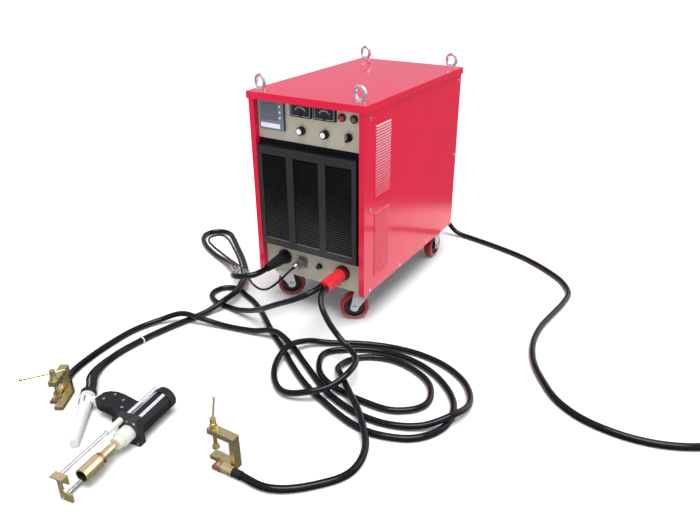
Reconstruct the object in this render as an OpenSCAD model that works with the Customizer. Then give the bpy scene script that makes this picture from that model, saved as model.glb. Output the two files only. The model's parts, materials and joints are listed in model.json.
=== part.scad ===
// Arc stud welding set: a wheeled power source, its stud gun, two earth clamps and their cables.
// Millimetres. The floor is z = 0, the cabinet stands over the origin and its front faces -Y.

/* [Cabinet] */
// Width over the side panels
cabinet_w = 430; // [420:1:470]
// Depth over the side panels
cabinet_d = 730; // [700:1:800]
// Height from the base to the top of the cover
cabinet_h = 633; // [620:1:700]
// Thickness of the cabinet's sheet steel
sheet = 1.5; // [1.2:0.1:2]
// Overhang of the top cover past the side panels
cover_overhang = 4.5; // [3:0.1:7]
// Depth of the top cover's turned-down skirt
cover_skirt = 23; // [15:1:30]
// Width of the side panels' front flange
front_flange = 20; // [17:1:22]
// Depth of the front panels behind the front flange
panel_recess = 20; // [14:1:24]
// Thickness of the control and socket panels
panel_sheet = 2; // [1.5:0.1:3]
// Height of the control panel
control_panel_h = 129; // [126:1:136]
// Height of the socket panel
socket_panel_h = 99; // [95:1:104]

/* [Grille] */
// How far the grille's face stands out from the front panels
grille_out = 25; // [15:1:35]
// Thickness of the grille's face
grille_face_t = 8; // [6:0.5:12]
// Width of one louvre column
louvre_column_w = 96; // [80:1:100]
// Distance between louvre columns
louvre_column_pitch = 123.5; // [112:0.5:128]
// Number of slats in a louvre column
louvre_slats = 36; // [20:1:40]
// Height of a louvre slat
louvre_slat_h = 5; // [3:0.1:6]

/* [Side louvres] */
// Length of a side louvre
side_louvre_l = 98; // [80:1:120]
// Distance between side louvres
side_louvre_pitch = 8.9; // [8.2:0.1:9.4]
// Side louvres in one group
side_louvre_count = 26; // [12:1:26]
// How far a louvre hood stands out
side_louvre_out = 4; // [2:0.1:6]

/* [Controls] */
// Width and height of the digital controller
controller_size = 96; // [72:1:100]
// Width of a panel meter
meter_w = 80; // [60:1:84]
// Height of a panel meter
meter_h = 44; // [36:1:48]
// Diameter of the setting knobs
knob_d = 28; // [20:1:34]
// Length of the setting knobs
knob_l = 20; // [14:1:26]
// Diameter of the selector knob
selector_d = 26; // [18:1:30]
// Diameter of a lamp bezel
lamp_d = 25; // [18:1:30]

/* [Casters] */
// Height of a caster
caster_h = 128; // [124:1:140]
// Diameter of a wheel
wheel_d = 100; // [90:1:104]
// Width of a wheel's tread
wheel_w = 32; // [24:1:34]
// Distance from the swivel axis to the wheel's axle
caster_trail = 28; // [24:1:32]
// Diameter of a wheel's axle
axle_d = 10; // [8:0.5:12]

/* [Lifting eyes] */
// Outer diameter of the ring
eye_ring_d = 54; // [46:1:60]
// Thickness of the ring
eye_wire_d = 12; // [9:1:13]
// Diameter of the shank
eye_shank_d = 12; // [10:1:14]

/* [Stud gun] */
// Diameter of the barrel
barrel_d = 62; // [56:1:64]
// Length of the barrel
barrel_l = 124; // [110:1:140]
// Length of the grip from the barrel's axis
grip_l = 136; // [130:1:145]
// Thickness of the grip
grip_t = 32; // [26:1:36]
// Diameter of the leg rods
leg_d = 10; // [8:0.5:12]
// Diameter of the chuck
chuck_d = 37; // [34:1:42]
// Length of the chuck's front tube
chuck_l = 57; // [45:1:62]
// Bore of the chuck
chuck_bore_d = 30; // [16:1:31]
// Lift of the spindle
lift = 10; // [4:1:12]

/* [Earth clamps] */
// Height of the clamp frame
clamp_h = 98; // [88:1:110]
// Length of the clamp frame
clamp_l = 85; // [76:1:100]
// Width of the clamp frame's bar
clamp_bar_w = 24; // [20:1:32]
// Thickness of the clamp frame's bar
clamp_bar_t = 15; // [12:1:18]
// Diameter of the clamp screw
clamp_screw_d = 10; // [8:0.5:12]

/* [Cables] */
// Diameter of the earth cables
earth_cable_d = 19; // [16:0.5:19]
// Diameter of the gun cable
gun_cable_d = 20; // [16:0.5:20]
// Diameter of the control cable
control_cable_d = 8; // [6:0.5:8]
// Diameter of the mains cable
mains_cable_d = 20; // [16:0.5:20]

/* [Hidden] */
$fn = 48;

// Cuts run past the faces that they open
overrun = 2;
// Gap between parts that are only placed beside each other
fit = 0.5;
// Gap between parts that move past each other
play = 0.3;
// Radial gap of a running fit
running = 0.05;
// Clearance of a screw in its hole, on the diameter
screw_play = 0.4;

// Cabinet planes
half_w = cabinet_w / 2;
half_d = cabinet_d / 2;
base_z = caster_h;
top_z = base_z + cabinet_h;
skin_top = top_z - sheet;
front_y = -half_d;
panel_y = front_y + panel_recess;
panel_back = panel_y + panel_sheet;
lip_back = panel_back + sheet;
rear_y = half_d - 2 * sheet;
inner_half_w = half_w - sheet;
flange_half = half_w - front_flange;
panel_half = flange_half - fit;
lip_w = 12;
rear_flange = 20;
tray_t = 3;
tray_side_h = 22;
post_w = 25;
post_t = 4;
rail_w = 50;
rail_t = 6;
rail_z = skin_top - rail_t;

// Front panels, from the bottom to the top; they end below the nuts of the lifting eyes
eye_nut_t = 13;
lip_top = rail_z - eye_nut_t - fit;
socket_top = base_z + socket_panel_h;
control_top = lip_top;
control_bottom = control_top - control_panel_h;
grille_bottom = socket_top + fit;
grille_top = control_bottom - fit;
grille_half = flange_half - lip_w - fit;
grille_gap = 7;
grille_wall = 2;
grille_rim_top = 18;
grille_rim_bottom = 12;
grille_rail_top = 28;
grille_rail_bottom = 25;
grille_face_half = flange_half - grille_gap;
grille_face_y = panel_y - grille_out;
grille_face_z0 = grille_bottom + grille_rim_bottom;
grille_face_z1 = grille_top - grille_rim_top;
louvre_z0 = grille_face_z0 + grille_rail_bottom;
louvre_z1 = grille_face_z1 - grille_rail_top;
louvre_stile = 3;
louvre_set_back = 4;
louvre_columns = [-1, 0, 1];
filter_t = 4;

// Side louvre groups: distance of the first slot from the front, of each group from the base,
// and of the highest slot from the cabinet's top
side_louvre_front = 65;
side_louvre_rise = [50, 332];
side_louvre_head = 60;
side_louvre_slot_h = 3;
side_louvre_hood_h = 6.2;
side_louvre_lip = 1;

// Places on the control panel, from the centre line and below the cover's top
controller_x = -134;
controller_drop = 70;
meter_x = [-22, 66];
meter_drop = 43;
lamp_x = [126, 168];
lamp_drop = 48;
knob_x = [-22, 66];
knob_drop = 107;
selector_x = 150;
selector_drop = 105;
controller_bezel = 10;
controller_body_l = 72;
controller_edge = 3;
meter_bezel = 8;
meter_body_l = 52;
meter_edge = 2.5;
bezel_corner = 3;
lamp_bezel_l = 5;
lamp_body_d = 20;
lamp_body_l = 40;
lens_d = 18;
lens_depth = 4;
lens_dome = 7;
pot_d = 24;
pot_l = 22;
pot_shaft_d = 6;
pot_bush_d = 10;
pot_nut_d = 14;
pot_nut_t = 2.5;
knob_gap = 3;
knob_cap_share = 0.64;
knob_skirt = 4;
knob_taper_share = 0.9;
knob_cap_t = 1.5;
knob_wall = 4;
pointer_w_share = 0.36;
pointer_round_share = 0.12;

// Places on the socket panel, from the centre line and above the base
gun_socket_at = [-114, 64];
control_socket_at = [-42, 60];
fuse_at = [30, 62];
earth_socket_at = [123, 61];
earth_stud_at = [118, 21];
socket_flange_d = 54;
socket_flange_t = 6;
socket_body_d = 40;
socket_body_l = 45;
socket_wall = 4;
pin_play = 0.4;
pin_l = 38;
gun_plug_root_d = 38;
gun_plug_tail_d = 26;
gun_plug_l = 102;
gun_plug_root_l = 40;
earth_plug_d = 43;
earth_plug_l = 112;
earth_plug_ring_d = 49;
earth_plug_ring_l = 14;
control_flange = 42;
control_flange_t = 4;
control_body_d = 32;
control_body_l = 24;
control_ring_d = 38;
control_ring_l = 18;
control_shell_d = 27;
control_shell_l = 20;
control_tail_d = 16;
control_tail_l = 12;
control_hub_d = 26;
fuse_cap_d = 16;
fuse_cap_l = 14;
fuse_rim_d = 21;
fuse_rim_t = 3;
fuse_body_d = 13;
fuse_body_l = 34;
stud_d = 8;
stud_out = 22;
stud_in = 10;
stud_nut_d = 15;
stud_nut_t = 6;
stud_washer_d = 18;
stud_washer_t = 1.6;

// Screws of the cabinet
screw_d = 5;
screw_head_d = 10;
screw_head_t = 3;
screw_l = 9;
side_screw_y = [lip_back + post_w / 2, rear_y - post_w / 2];
side_screw_drop = 45;
base_screw_rise = 12;
side_screw_z = [base_z + base_screw_rise, base_z + (cabinet_h - side_screw_drop + base_screw_rise) / 2,
  top_z - side_screw_drop];
base_screw_shares = [-0.15, 0.16];
base_screw_y = [for (s = base_screw_shares) s * cabinet_d];

// Lifting eyes
eye_x_inset = 32;
eye_y_inset = 27;
eye_collar_d = 30;
eye_collar_t = 6;
eye_turn = -15;
eye_ring_r = (eye_ring_d - eye_wire_d) / 2;
eye_nut_d = 21;
eye_places = [for (sx = [-1, 1], sy = [-1, 1]) [sx * (half_w - eye_x_inset),
  sy * (half_d - eye_y_inset)]];

// Inside pieces
core_w = 300;
core_d = 90;
core_h = 260;
core_limb = 60;
core_y = 110;
core_foot_h = 12;
core_foot_d = 150;
coil_wall = 26;
coil_gap = 1;
choke_w = 150;
choke_d = 70;
choke_h = 130;
choke_limb = 40;
choke_front = 175;
choke_at = [-95, front_y + choke_front];
choke_coil_wall = 18;
rectifier_w = 150;
rectifier_d = 90;
rectifier_h = 200;
rectifier_base_t = 12;
rectifier_fins = 11;
rectifier_fin_t = 3;
rectifier_at = [115, -150];
module_w = 34;
module_h = 90;
module_t = 30;
board_w = 150;
board_h = 74;
board_t = 1.6;
board_at_x = 105;
board_gap = 46;
board_edge = 8;
standoff_d = 7;
board_part_shares = [[0.1, 0.15, 0.2, 0.3, 0.22], [0.4, 0.2, 0.3, 0.25, 0.14], [0.15, 0.55, 0.25, 0.3,
  0.3], [0.55, 0.55, 0.3, 0.3, 0.2]];
fan_size = 200;
fan_frame_l = 60;
fan_bore_d = 190;
fan_hub_d = 74;
fan_hub_l = 40;
fan_blades = 5;
fan_blade_t = 3;
fan_blade_w = 46;
fan_blade_angle = 35;
fan_tip_play = 3;
fan_shaft_d = 8;
fan_boss_d = 60;
fan_boss_l = 12;
fan_spoke_w = 8;
fan_spoke_inset = 1;
fan_spoke_angles = [45, 135];
fan_x = 40;
fan_rise = 380;
fan_y0 = rear_y - fan_frame_l;
fan_slots = 15;
fan_slot_h = 6;

// Casters
plate_l = 95;
plate_w = 67;
plate_t = 3;
plate_z = base_z - plate_t;
caster_x_inset = 47;
caster_y_inset = 75;
bolt_l_pitch = 75;
bolt_w_pitch = 45;
bolt_d = 8;
bolt_head_d = 13;
bolt_head_t = 5;
nut_d = 14;
nut_t = 6;
race_d = 50;
race_h = 7;
race_z = plate_z - race_h;
kingpin_d = 12;
kingpin_nut_d = 20;
kingpin_nut_t = 7;
crown_ring_d = 46;
crown_ring_h = 5;
crown_t = 4;
crown_top = race_z - play - crown_ring_h;
crown_z = crown_top - crown_t;
kingpin_z = crown_z - play - kingpin_nut_t;
hub_d = 40;
hub_out = 3;
hub_w = wheel_w + 2 * hub_out;
leg_gap = hub_w + 2 * play;
fork_leg_t = 3.5;
fork_boss_r = 14;
fork_top_half = 30;
axle_head_d = 16;
axle_head_t = 4;
axle_z = wheel_d / 2;
tread_round = 5;
web_recess = 6;
web_d_share = 0.72;
caster_x = half_w - caster_x_inset;
caster_y = half_d - caster_y_inset;
front_left_turn = 37;
front_right_turn = 210;

// Stud gun: its own frame has the barrel along +X, the grip towards -Y and the front block at the origin
gun_at = [-39, -1145];
gun_turn = -82;
block_l = 22;
block_h = 84;
block_w = 64;
block_shift = 2;
gun_z = block_h / 2;
barrel_x0 = -block_l / 2 - barrel_l;
barrel_cap_l = 12;
barrel_cap_step = 1;
barrel_rib_w = 9;
barrel_rib_t = 2;
barrel_rib_angles = [25, 60, 120, 155];
barrel_reach = norm([barrel_d / 2, barrel_rib_w / 2]);
spindle_d = 14;
spindle_bore_d = 18;
spindle_back = 24;
bush_d = 44;
bush_l = 52;
bush_nose_d = 36;
bush_nose_share = 0.7;
sleeve_d = 17;
sleeve_l = 54;
leg_y = -20;
leg_z = 33;
leg_back = 132;
leg_front = 226;
chuck_reserve = 3;
chuck_root = block_l / 2 + bush_l + lift + chuck_reserve;
chuck_neck_d = 24;
chuck_neck_l = 38;
chuck_ring_d = 33;
chuck_ring_l = 10;
chuck_bore_l = 45;
foot_t = 5;
foot_edge = 10;
foot_reach = 27;
foot_lip = 15;
foot_lip_t = 4;
foot_notch_d = 34;
grip_gap = 0.2;
// Grip outline along the barrel and out from it, as shares of the grip's length, from the rear root
// round the butt
grip_outline_shares = [[-0.62, -0.19], [-0.62, -0.37], [-0.655, -0.55], [-0.69, -0.735], [-0.7, -0.92],
  [-0.66, -1.07],
  [-0.575, -1.175], [-0.34, -1.2], [-0.295, -1.1], [-0.28, -0.92], [-0.25, -0.735], [-0.175, -0.575],
    [-0.105, -0.44],
  [-0.105, -0.19]];
grip_points = [for (s = grip_outline_shares) [s[0] * grip_l, s[1] * grip_l]];
butt_at_share = [-0.455, -1.19];
trigger_h_share = 0.16;
trigger_at_share = -0.45;
trigger_w = 14;
trigger_l = 18;
trigger_out = 9;
trigger_travel = 4;
grip_screw_head_d = 8;
grip_screw_head_t = 1.6;
grip_screw_shares = [[-0.6, -0.9], [-0.4, -1.02], [-0.52, -0.62], [-0.33, -0.5]];

// Cable boot: a T-shaped moulding whose side arm meets the grip's butt
boot_at = [-285, -1086];
boot_turn = -50;
boot_z = 23;
boot_tilt = 2.6;
boot_l = 205;
boot_mouth_d = 40;
boot_tail_d = 24;
boot_collar_d = 45;
boot_collar_l = 16;
boot_lip_d = 43;
boot_lip_l = 8;
boot_arm_d = 20;
boot_arm_at = 30;

// Earth clamps: each stands in its own frame with the back at the origin and the jaws along +X
right_clamp_at = [262, -1078];
right_clamp_turn = 180;
right_clamp_side = 1;
left_clamp_at = [-362, -1092];
left_clamp_turn = -60;
left_clamp_side = -1;
clamp_arm_t = 16;
clamp_jaw_t = 12;
clamp_screw_inset = 14;
clamp_boss_d = 22;
clamp_boss_h = 8;
clamp_head_d = 16;
clamp_head_h = 16;
clamp_head_gap = 6;
clamp_pad_d = 19;
clamp_pad_t = 7;
clamp_pad_neck_d = 7;
clamp_pad_neck_l = 5;
clamp_pad_drop = 40;
tbar_d = 6;
tbar_l = 110;
tbar_ball_d = 9;
right_tbar_turn = -50;
left_tbar_turn = 114;
right_tbar_shift = 38;
left_tbar_shift = -25;
ear_l = 26;
ear_w = 26;
ear_t = 6;
lug_tongue_t = 3;
lug_tongue_w = 20;
lug_tongue_l = 30;
lug_barrel_d = 24;
lug_barrel_l = 34;
lug_sleeve_d = 22;
lug_bolt_d = 8;
lug_back = 32;
lug_z = 12;
lug_gap = 3;
lug_out = clamp_bar_w / 2 + lug_barrel_d / 2 + lug_gap;

// Cable routes, leaving the machine first. Heights over another cable lift the middle clear of it.
cable_sides = 8;
cable_steps = 2;
gun_route = [
  [-114, -453, 192], [-114, -478, 192], [-124, -510, 190], [-150, -530, 186], [-183, -531, 178],
  [-208, -517, 167], [-258, -462, 133], [-330, -365, 88], [-415, -285, 48], [-515, -222, 18],
  [-620, -178, 10], [-708, -130, 10], [-763, -81, 10], [-779, -50, 10], [-775, -15, 10], [-752, 9, 10],
  [-722, 19, 10], [-688, 12, 10], [-648, -16, 10], [-580, -72, 10], [-470, -165, 10], [-380, -255, 14],
  [-325, -330, 30], [-296, -400, 33], [-288, -480, 33], [-310, -555, 16], [-340, -640, 10],
  [-365, -730, 10], [-382, -830, 10], [-385, -910, 10], [-368, -980, 14], [-338, -1025, 20],
  [-307, -1052, 23], [-281.5, -1082.5, 23]];
control_route = [
  [-42, -399, 188], [-42, -418, 187], [-56, -446, 166], [-102, -462, 122], [-165, -440, 92],
  [-215, -415, 86], [-270, -375, 84], [-340, -305, 58], [-410, -250, 30], [-490, -202, 12],
  [-600, -150, 4], [-684, -112, 4], [-740, -74, 4], [-752, -52, 4], [-749, -29, 4], [-734, -12, 4],
  [-712, -7, 4], [-692, -15, 4], [-590, -86, 4], [-480, -178, 4], [-395, -265, 6], [-342, -340, 24],
  [-314, -402, 27], [-308, -478, 27], [-328, -550, 10], [-357, -635, 4], [-382, -725, 4],
  [-399, -830, 4], [-402, -910, 4], [-386, -988, 8], [-354, -1036, 16], [-319, -1064, 22],
  [-294.5, -1093.5, 23]];
right_earth_route = [
  [113, -463, 192], [113, -490, 191], [100, -520, 184], [64, -542, 166], [4, -545, 134],
  [-170, -505, 34], [-255, -490, 10], [-357, -474, 10], [-383, -454, 10], [-393, -422, 10],
  [-383, -390, 10], [-352, -369, 10], [-260, -394, 10], [0, -568, 10], [280, -748, 10], [520, -800, 10],
  [605, -760, 10], [650, -680, 10], [638, -590, 10], [570, -508, 10], [420, -448, 10], [250, -492, 10],
  [182, -560, 10], [206, -626, 10], [410, -702, 10], [510, -688, 10], [566, -625, 10], [545, -545, 10],
  [460, -490, 10], [360, -484, 10], [278, -535, 10], [262, -602, 14], [305, -655, 34], [372, -716, 34],
  [455, -796, 34], [510, -872, 14], [518, -950, 10], [465, -1035, 10], [364, -1105, 12],
  [294, -1105, 12]];
left_earth_route = [
  [133, -463, 186], [134, -492, 184], [148, -520, 168], [182, -541, 132], [235, -548, 80],
  [285, -564, 60], [326, -604, 62], [338, -660, 63], [314, -724, 44], [262, -772, 32], [195, -790, 18],
  [130, -752, 14], [90, -685, 26], [84, -605, 36], [106, -548, 26], [170, -495, 10], [250, -452, 10],
  [350, -418, 10], [455, -408, 10], [555, -430, 10], [635, -485, 10], [674, -565, 16], [660, -655, 34],
  [600, -715, 16], [520, -750, 10], [430, -757, 10], [330, -733, 10], [150, -628, 10], [80, -585, 14],
  [-5, -563, 33], [-95, -575, 15], [-200, -595, 12], [-290, -618, 26], [-350, -634, 34],
  [-415, -688, 15], [-448, -770, 10], [-452, -860, 10], [-445, -950, 10], [-422, -1042, 12],
  [-401.5, -1077.5, 12]];
mains_route = [
  [130, 405, 190], [130, 440, 190], [130, 482, 179], [130, 514, 148], [130, 525, 105], [143, 525, 58],
  [178, 525, 23], [225, 524, 10], [290, 510, 10], [390, 484, 10], [510, 443, 10], [625, 378, 10],
  [708, 308, 10], [750, 235, 10], [752, 150, 10], [740, 50, 10], [729, -50, 10], [737, -165, 10],
  [768, -262, 10], [820, -345, 10], [880, -414, 10], [950, -455, 10], [1030, -472, 10], [1110, -470, 10],
  [1190, -448, 10], [1265, -405, 10], [1325, -335, 12], [1360, -250, 26], [1370, -160, 34],
  [1370, -120, 34]];
gland_x = 130;
gland_rise = 62;
gland_nut_d = 40;
gland_nut_t = 14;
gland_l = 40;
gland_tail_d = 25;
gland_thread_d = 32;
gland_thread_l = 16;
mains_plug_d = 66;
mains_plug_l = 70;
mains_plug_grip_d = 40;
mains_plug_tail_d = 30;
mains_plug_grip_l = 50;
mains_pin_d = 8;
mains_pin_l = 25;
mains_pin_ring = 17;
mains_pin_angles = [0, 72, 144, 216, 288];

// Helper shapes

// A box between two corners
module block(a, b) {
  translate(a) cube(b - a);
}

// A rod along X between two places
module rod_x(x0, x1, d) {
  translate([x0, 0, 0]) rotate([0, 90, 0]) cylinder(h = x1 - x0, d = d);
}

// A rod along Y between two places
module rod_y(y0, y1, d) {
  translate([0, y0, 0]) rotate([-90, 0, 0]) cylinder(h = y1 - y0, d = d);
}

// A centred plate between two heights
module slab(w, h, z0, z1) {
  translate([-w / 2, -h / 2, z0]) cube([w, h, z1 - z0]);
}

// A disc between two heights
module disc(d, z0, z1) {
  translate([0, 0, z0]) cylinder(h = z1 - z0, d = d);
}

// A plate with round corners between two heights
module soft_slab(w, h, r, z0, z1) {
  translate([0, 0, z0]) linear_extrude(z1 - z0) {
    square([w - 2 * r, h], center = true);
    square([w, h - 2 * r], center = true);
    for (sx = [-1, 1], sy = [-1, 1]) translate([sx * (w / 2 - r), sy * (h / 2 - r)]) circle(r);
  }
}

// Puts a shape on the front panels: its +Z then points out of the front
module on_panel(x, z) {
  translate([x, panel_y, z]) rotate([90, 0, 0]) children();
}

module on_socket_panel(at) {
  on_panel(at[0], base_z + at[1]) children();
}

// A hexagon across its corners
module hex(d, z0, z1) {
  translate([0, 0, z0]) cylinder(h = z1 - z0, d = d, $fn = 6);
}

// Cable sweep: a smooth run through the route's points, with a ring of sides at each step
function span(p, i) = norm(p[i + 1] - p[i]);
function leg_dir(p, i) = (p[i + 1] - p[i]) / span(p, i);
function run_dir(p, i) =
  i == 0 ? leg_dir(p, 0) : i == len(p) - 1 ? leg_dir(p, i - 1) :
  unit(span(p, i) * leg_dir(p, i - 1) + span(p, i - 1) * leg_dir(p, i));
function run_point(p, i, t) =
  let (length = span(p, i))
  (1 + 2 * t) * pow(1 - t, 2) * p[i] + t * pow(1 - t, 2) * length * run_dir(p, i)
  + t * t * (3 - 2 * t) * p[i + 1] + t * t * (t - 1) * length * run_dir(p, i + 1);
function run_points(p, steps) =
  concat([for (i = [0 : len(p) - 2], k = [0 : steps - 1]) run_point(p, i, k / steps)], [p[len(p) - 1]]);
function on_floor(p, d) = [p[0], p[1], max(p[2], d / 2)];
function unit(v) = v / norm(v);
function ring(c, dir, d) =
  let (side = unit(cross(dir, [0, 0, 1])), up = cross(side, dir))
  [for (k = [0 : cable_sides - 1])
    let (a = 360 * (k + 0.5) / cable_sides) c + d / 2 * (cos(a) * side + sin(a) * up)];

module cable(route, d) {
  run = [for (p = run_points(route, cable_steps)) on_floor(p, d)];
  last = len(run) - 1;
  n = cable_sides;
  points = [for (i = [0 : last], q = ring(run[i], unit(run[min(i + 1, last)] - run[max(i - 1, 0)]), d))
    q];
  walls = [for (i = [0 : last - 1], k = [0 : n - 1], half = [0, 1])
    let (a = i * n + k, b = i * n + (k + 1) % n) half == 0 ? [a, b, a + n] : [b, b + n, a + n]];
  start = [for (k = [1 : n - 2]) [0, k + 1, k]];
  finish = [for (k = [1 : n - 2]) [last * n, last * n + k, last * n + k + 1]];
  polyhedron(points, concat(walls, start, finish));
}

// Cabinet

module side_screw_places() {
  for (y = side_screw_y, z = side_screw_z) translate([half_w, y, z]) children();
  for (y = base_screw_y) translate([half_w, y, side_screw_z[0]]) children();
}

module side_louvre_places() {
  for (rise = side_louvre_rise) {
    room = floor((cabinet_h - side_louvre_head - rise) / side_louvre_pitch);
    for (k = [0 : min(side_louvre_count, room) - 1])
      translate([half_w, front_y + side_louvre_front, base_z + rise + k * side_louvre_pitch]) children();
  }
}

// The right-hand panel; the left-hand one is its mirror image
module side_panel() {
  difference() {
    union() {
      block([inner_half_w, front_y, base_z], [half_w, half_d, skin_top]);
      block([flange_half, front_y, base_z], [half_w, front_y + sheet, skin_top]);
      block([flange_half, front_y, base_z], [flange_half + sheet, lip_back, lip_top]);
      block([flange_half - lip_w, panel_back, base_z], [flange_half + sheet, lip_back, lip_top]);
      block([half_w - rear_flange, half_d - sheet, base_z], [half_w, half_d, skin_top]);
      side_louvre_places() rotate([-90, 0, 0]) linear_extrude(side_louvre_l)
        polygon([[-sheet, -side_louvre_slot_h / 2], [side_louvre_out, -side_louvre_slot_h / 2],
          [side_louvre_out, -side_louvre_slot_h / 2 - side_louvre_lip], [0, -side_louvre_hood_h],
            [-sheet, -side_louvre_hood_h]]);
    }
    side_louvre_places() block([-sheet - overrun, sheet, -side_louvre_slot_h / 2], [overrun,
      side_louvre_l - sheet, side_louvre_slot_h / 2]);
    side_screw_places() rod_x(-sheet - overrun, overrun, screw_d + screw_play);
  }
}

module right_side_panel() {
  color("crimson") side_panel();
}

module left_side_panel() {
  color("crimson") mirror([1, 0, 0]) side_panel();
}

module caster_places() {
  for (sx = [-1, 1], sy = [-1, 1]) translate([sx * caster_x, sy * caster_y, 0]) children();
}

module bolt_places() {
  for (sx = [-1, 1], sy = [-1, 1]) translate([sx * bolt_w_pitch / 2, sy * bolt_l_pitch / 2, 0])
    children();
}

module base_frame() {
  color("dimgray") difference() {
    union() {
      block([-inner_half_w, lip_back, base_z], [inner_half_w, rear_y, base_z + tray_t]);
      for (s = [0, 1]) mirror([s, 0, 0]) {
        block([inner_half_w - tray_t, lip_back, base_z], [inner_half_w, rear_y, base_z + tray_side_h]);
        block([inner_half_w - post_t, lip_back, base_z], [inner_half_w, lip_back + post_w, skin_top]);
        block([inner_half_w - post_t, rear_y - post_w, base_z], [inner_half_w, rear_y, skin_top]);
      }
      block([-inner_half_w, front_y + sheet + fit, rail_z], [inner_half_w,
        front_y + sheet + fit + rail_w, skin_top]);
      block([-inner_half_w, rear_y - rail_w, rail_z], [inner_half_w, rear_y, skin_top]);
    }
    caster_places() bolt_places() disc(bolt_d + screw_play, base_z - overrun, base_z + tray_t + overrun);
    for (p = eye_places) translate(p) disc(eye_shank_d + screw_play, rail_z - overrun,
      skin_top + overrun);
    for (s = [0, 1]) mirror([s, 0, 0]) side_screw_places()
      rod_x(-sheet - post_t - overrun, overrun, screw_d + screw_play);
  }
}

module top_cover() {
  outer_w = half_w + cover_overhang;
  outer_d = half_d + cover_overhang;
  color("crimson") difference() {
    block([-outer_w, -outer_d, top_z - cover_skirt], [outer_w, outer_d, top_z]);
    block([-outer_w + sheet, -outer_d + sheet, top_z - cover_skirt - overrun], [outer_w - sheet,
      outer_d - sheet, skin_top]);
    for (p = eye_places) translate(p) disc(eye_shank_d + screw_play, skin_top - overrun, top_z + overrun);
  }
}

module fan_axis() {
  translate([fan_x, 0, base_z + fan_rise]) children();
}

module rear_panel() {
  slot_pitch = fan_bore_d / fan_slots;
  color("crimson") difference() {
    block([-inner_half_w, rear_y, base_z], [inner_half_w, rear_y + sheet, skin_top]);
    fan_axis() for (k = [0 : fan_slots - 1])
      let (h = (k + 0.5) * slot_pitch - fan_bore_d / 2, half = sqrt(pow(fan_bore_d / 2,
        2) - h * h) - fan_slot_h)
      block([-half, rear_y - overrun, h - fan_slot_h / 2], [half, half_d + overrun, h + fan_slot_h / 2]);
    translate([gland_x, 0, base_z + gland_rise]) rod_y(rear_y - overrun, half_d + overrun,
      gland_thread_d + screw_play);
  }
}

// Cut-outs and screws of the control panel
module control_places(x_list, drop) {
  for (x = x_list) on_panel(x, top_z - drop) children();
}

module control_panel() {
  color("lightgray") difference() {
    block([-panel_half, panel_y, control_bottom], [panel_half, panel_back, control_top]);
    control_places([controller_x], controller_drop)
      slab(controller_size - 2 * controller_edge + fit, controller_size - 2 * controller_edge + fit,
        -panel_sheet - overrun, overrun);
    control_places(meter_x, meter_drop)
      slab(meter_w - 2 * meter_edge + fit, meter_h - 2 * meter_edge + fit, -panel_sheet - overrun,
        overrun);
    control_places(lamp_x, lamp_drop) disc(lamp_body_d + fit, -panel_sheet - overrun, overrun);
    control_places(knob_x, knob_drop) disc(pot_bush_d + fit, -panel_sheet - overrun, overrun);
    control_places([selector_x], selector_drop) disc(pot_bush_d + fit, -panel_sheet - overrun, overrun);
  }
}

module socket_panel() {
  color("lightgray") difference() {
    block([-panel_half, panel_y, base_z], [panel_half, panel_back, socket_top]);
    for (at = [gun_socket_at, earth_socket_at]) on_socket_panel(at) disc(socket_body_d + fit,
      -panel_sheet - overrun, overrun);
    on_socket_panel(control_socket_at) disc(control_body_d + fit, -panel_sheet - overrun, overrun);
    on_socket_panel(fuse_at) disc(fuse_body_d + fit, -panel_sheet - overrun, overrun);
    on_socket_panel(earth_stud_at) disc(stud_d + screw_play, -panel_sheet - overrun, overrun);
  }
}

module front_grille() {
  color("black") difference() {
    union() {
      block([-panel_half, panel_y, grille_bottom], [panel_half, panel_back, grille_top]);
      block([-grille_face_half, grille_face_y, grille_face_z0],
        [grille_face_half, panel_back, grille_face_z1]);
    }
    block([-grille_half, grille_face_y + grille_face_t, grille_face_z0 + grille_wall],
      [grille_half, panel_back + overrun, grille_face_z1 - grille_wall]);
    for (k = louvre_columns) translate([k * louvre_column_pitch, 0, 0])
      block([-louvre_column_w / 2, grille_face_y - overrun, louvre_z0],
        [louvre_column_w / 2, grille_face_y + grille_face_t + overrun, louvre_z1]);
  }
}

// Flat slats between two stiles, set back from the face
module louvre_column() {
  w = louvre_column_w / 2 - play;
  y0 = grille_face_y + louvre_set_back;
  y1 = grille_face_y + grille_face_t;
  z0 = louvre_z0 + play;
  z1 = louvre_z1 - play;
  pitch = (z1 - z0 - louvre_slat_h) / (louvre_slats - 1);
  for (s = [-1, 1]) translate([s * (w - louvre_stile / 2), 0, 0])
    block([-louvre_stile / 2, y0, z0], [louvre_stile / 2, y1, z1]);
  for (k = [0 : louvre_slats - 1]) translate([0, 0, z0 + k * pitch])
    block([-w, y0, 0], [w, y1, louvre_slat_h]);
}

// Dust filter mat that fills the housing behind the slats
module filter_mat() {
  y0 = grille_face_y + grille_face_t + play;
  block([-grille_half + play, y0, grille_face_z0 + grille_wall + play],
    [grille_half - play, y0 + filter_t, grille_face_z1 - grille_wall - play]);
}

module grille_louvres() {
  color("dimgray") {
    for (k = louvre_columns) translate([k * louvre_column_pitch, 0, 0]) louvre_column();
    filter_mat();
  }
}

module lifting_eye() {
  disc(eye_collar_d, 0, eye_collar_t);
  disc(eye_shank_d, -sheet - rail_t - eye_nut_t, overrun);
  translate([0, 0, eye_collar_t + eye_ring_r]) rotate([90, 0, eye_turn])
    rotate_extrude() translate([eye_ring_r, 0]) circle(d = eye_wire_d);
}

module lifting_eyes() {
  color("silver") for (p = eye_places) translate([p[0], p[1], top_z]) lifting_eye();
}

module panel_screw() {
  rod_x(0, screw_head_t, screw_head_d);
  rod_x(-screw_l, overrun, screw_d);
}

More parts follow.
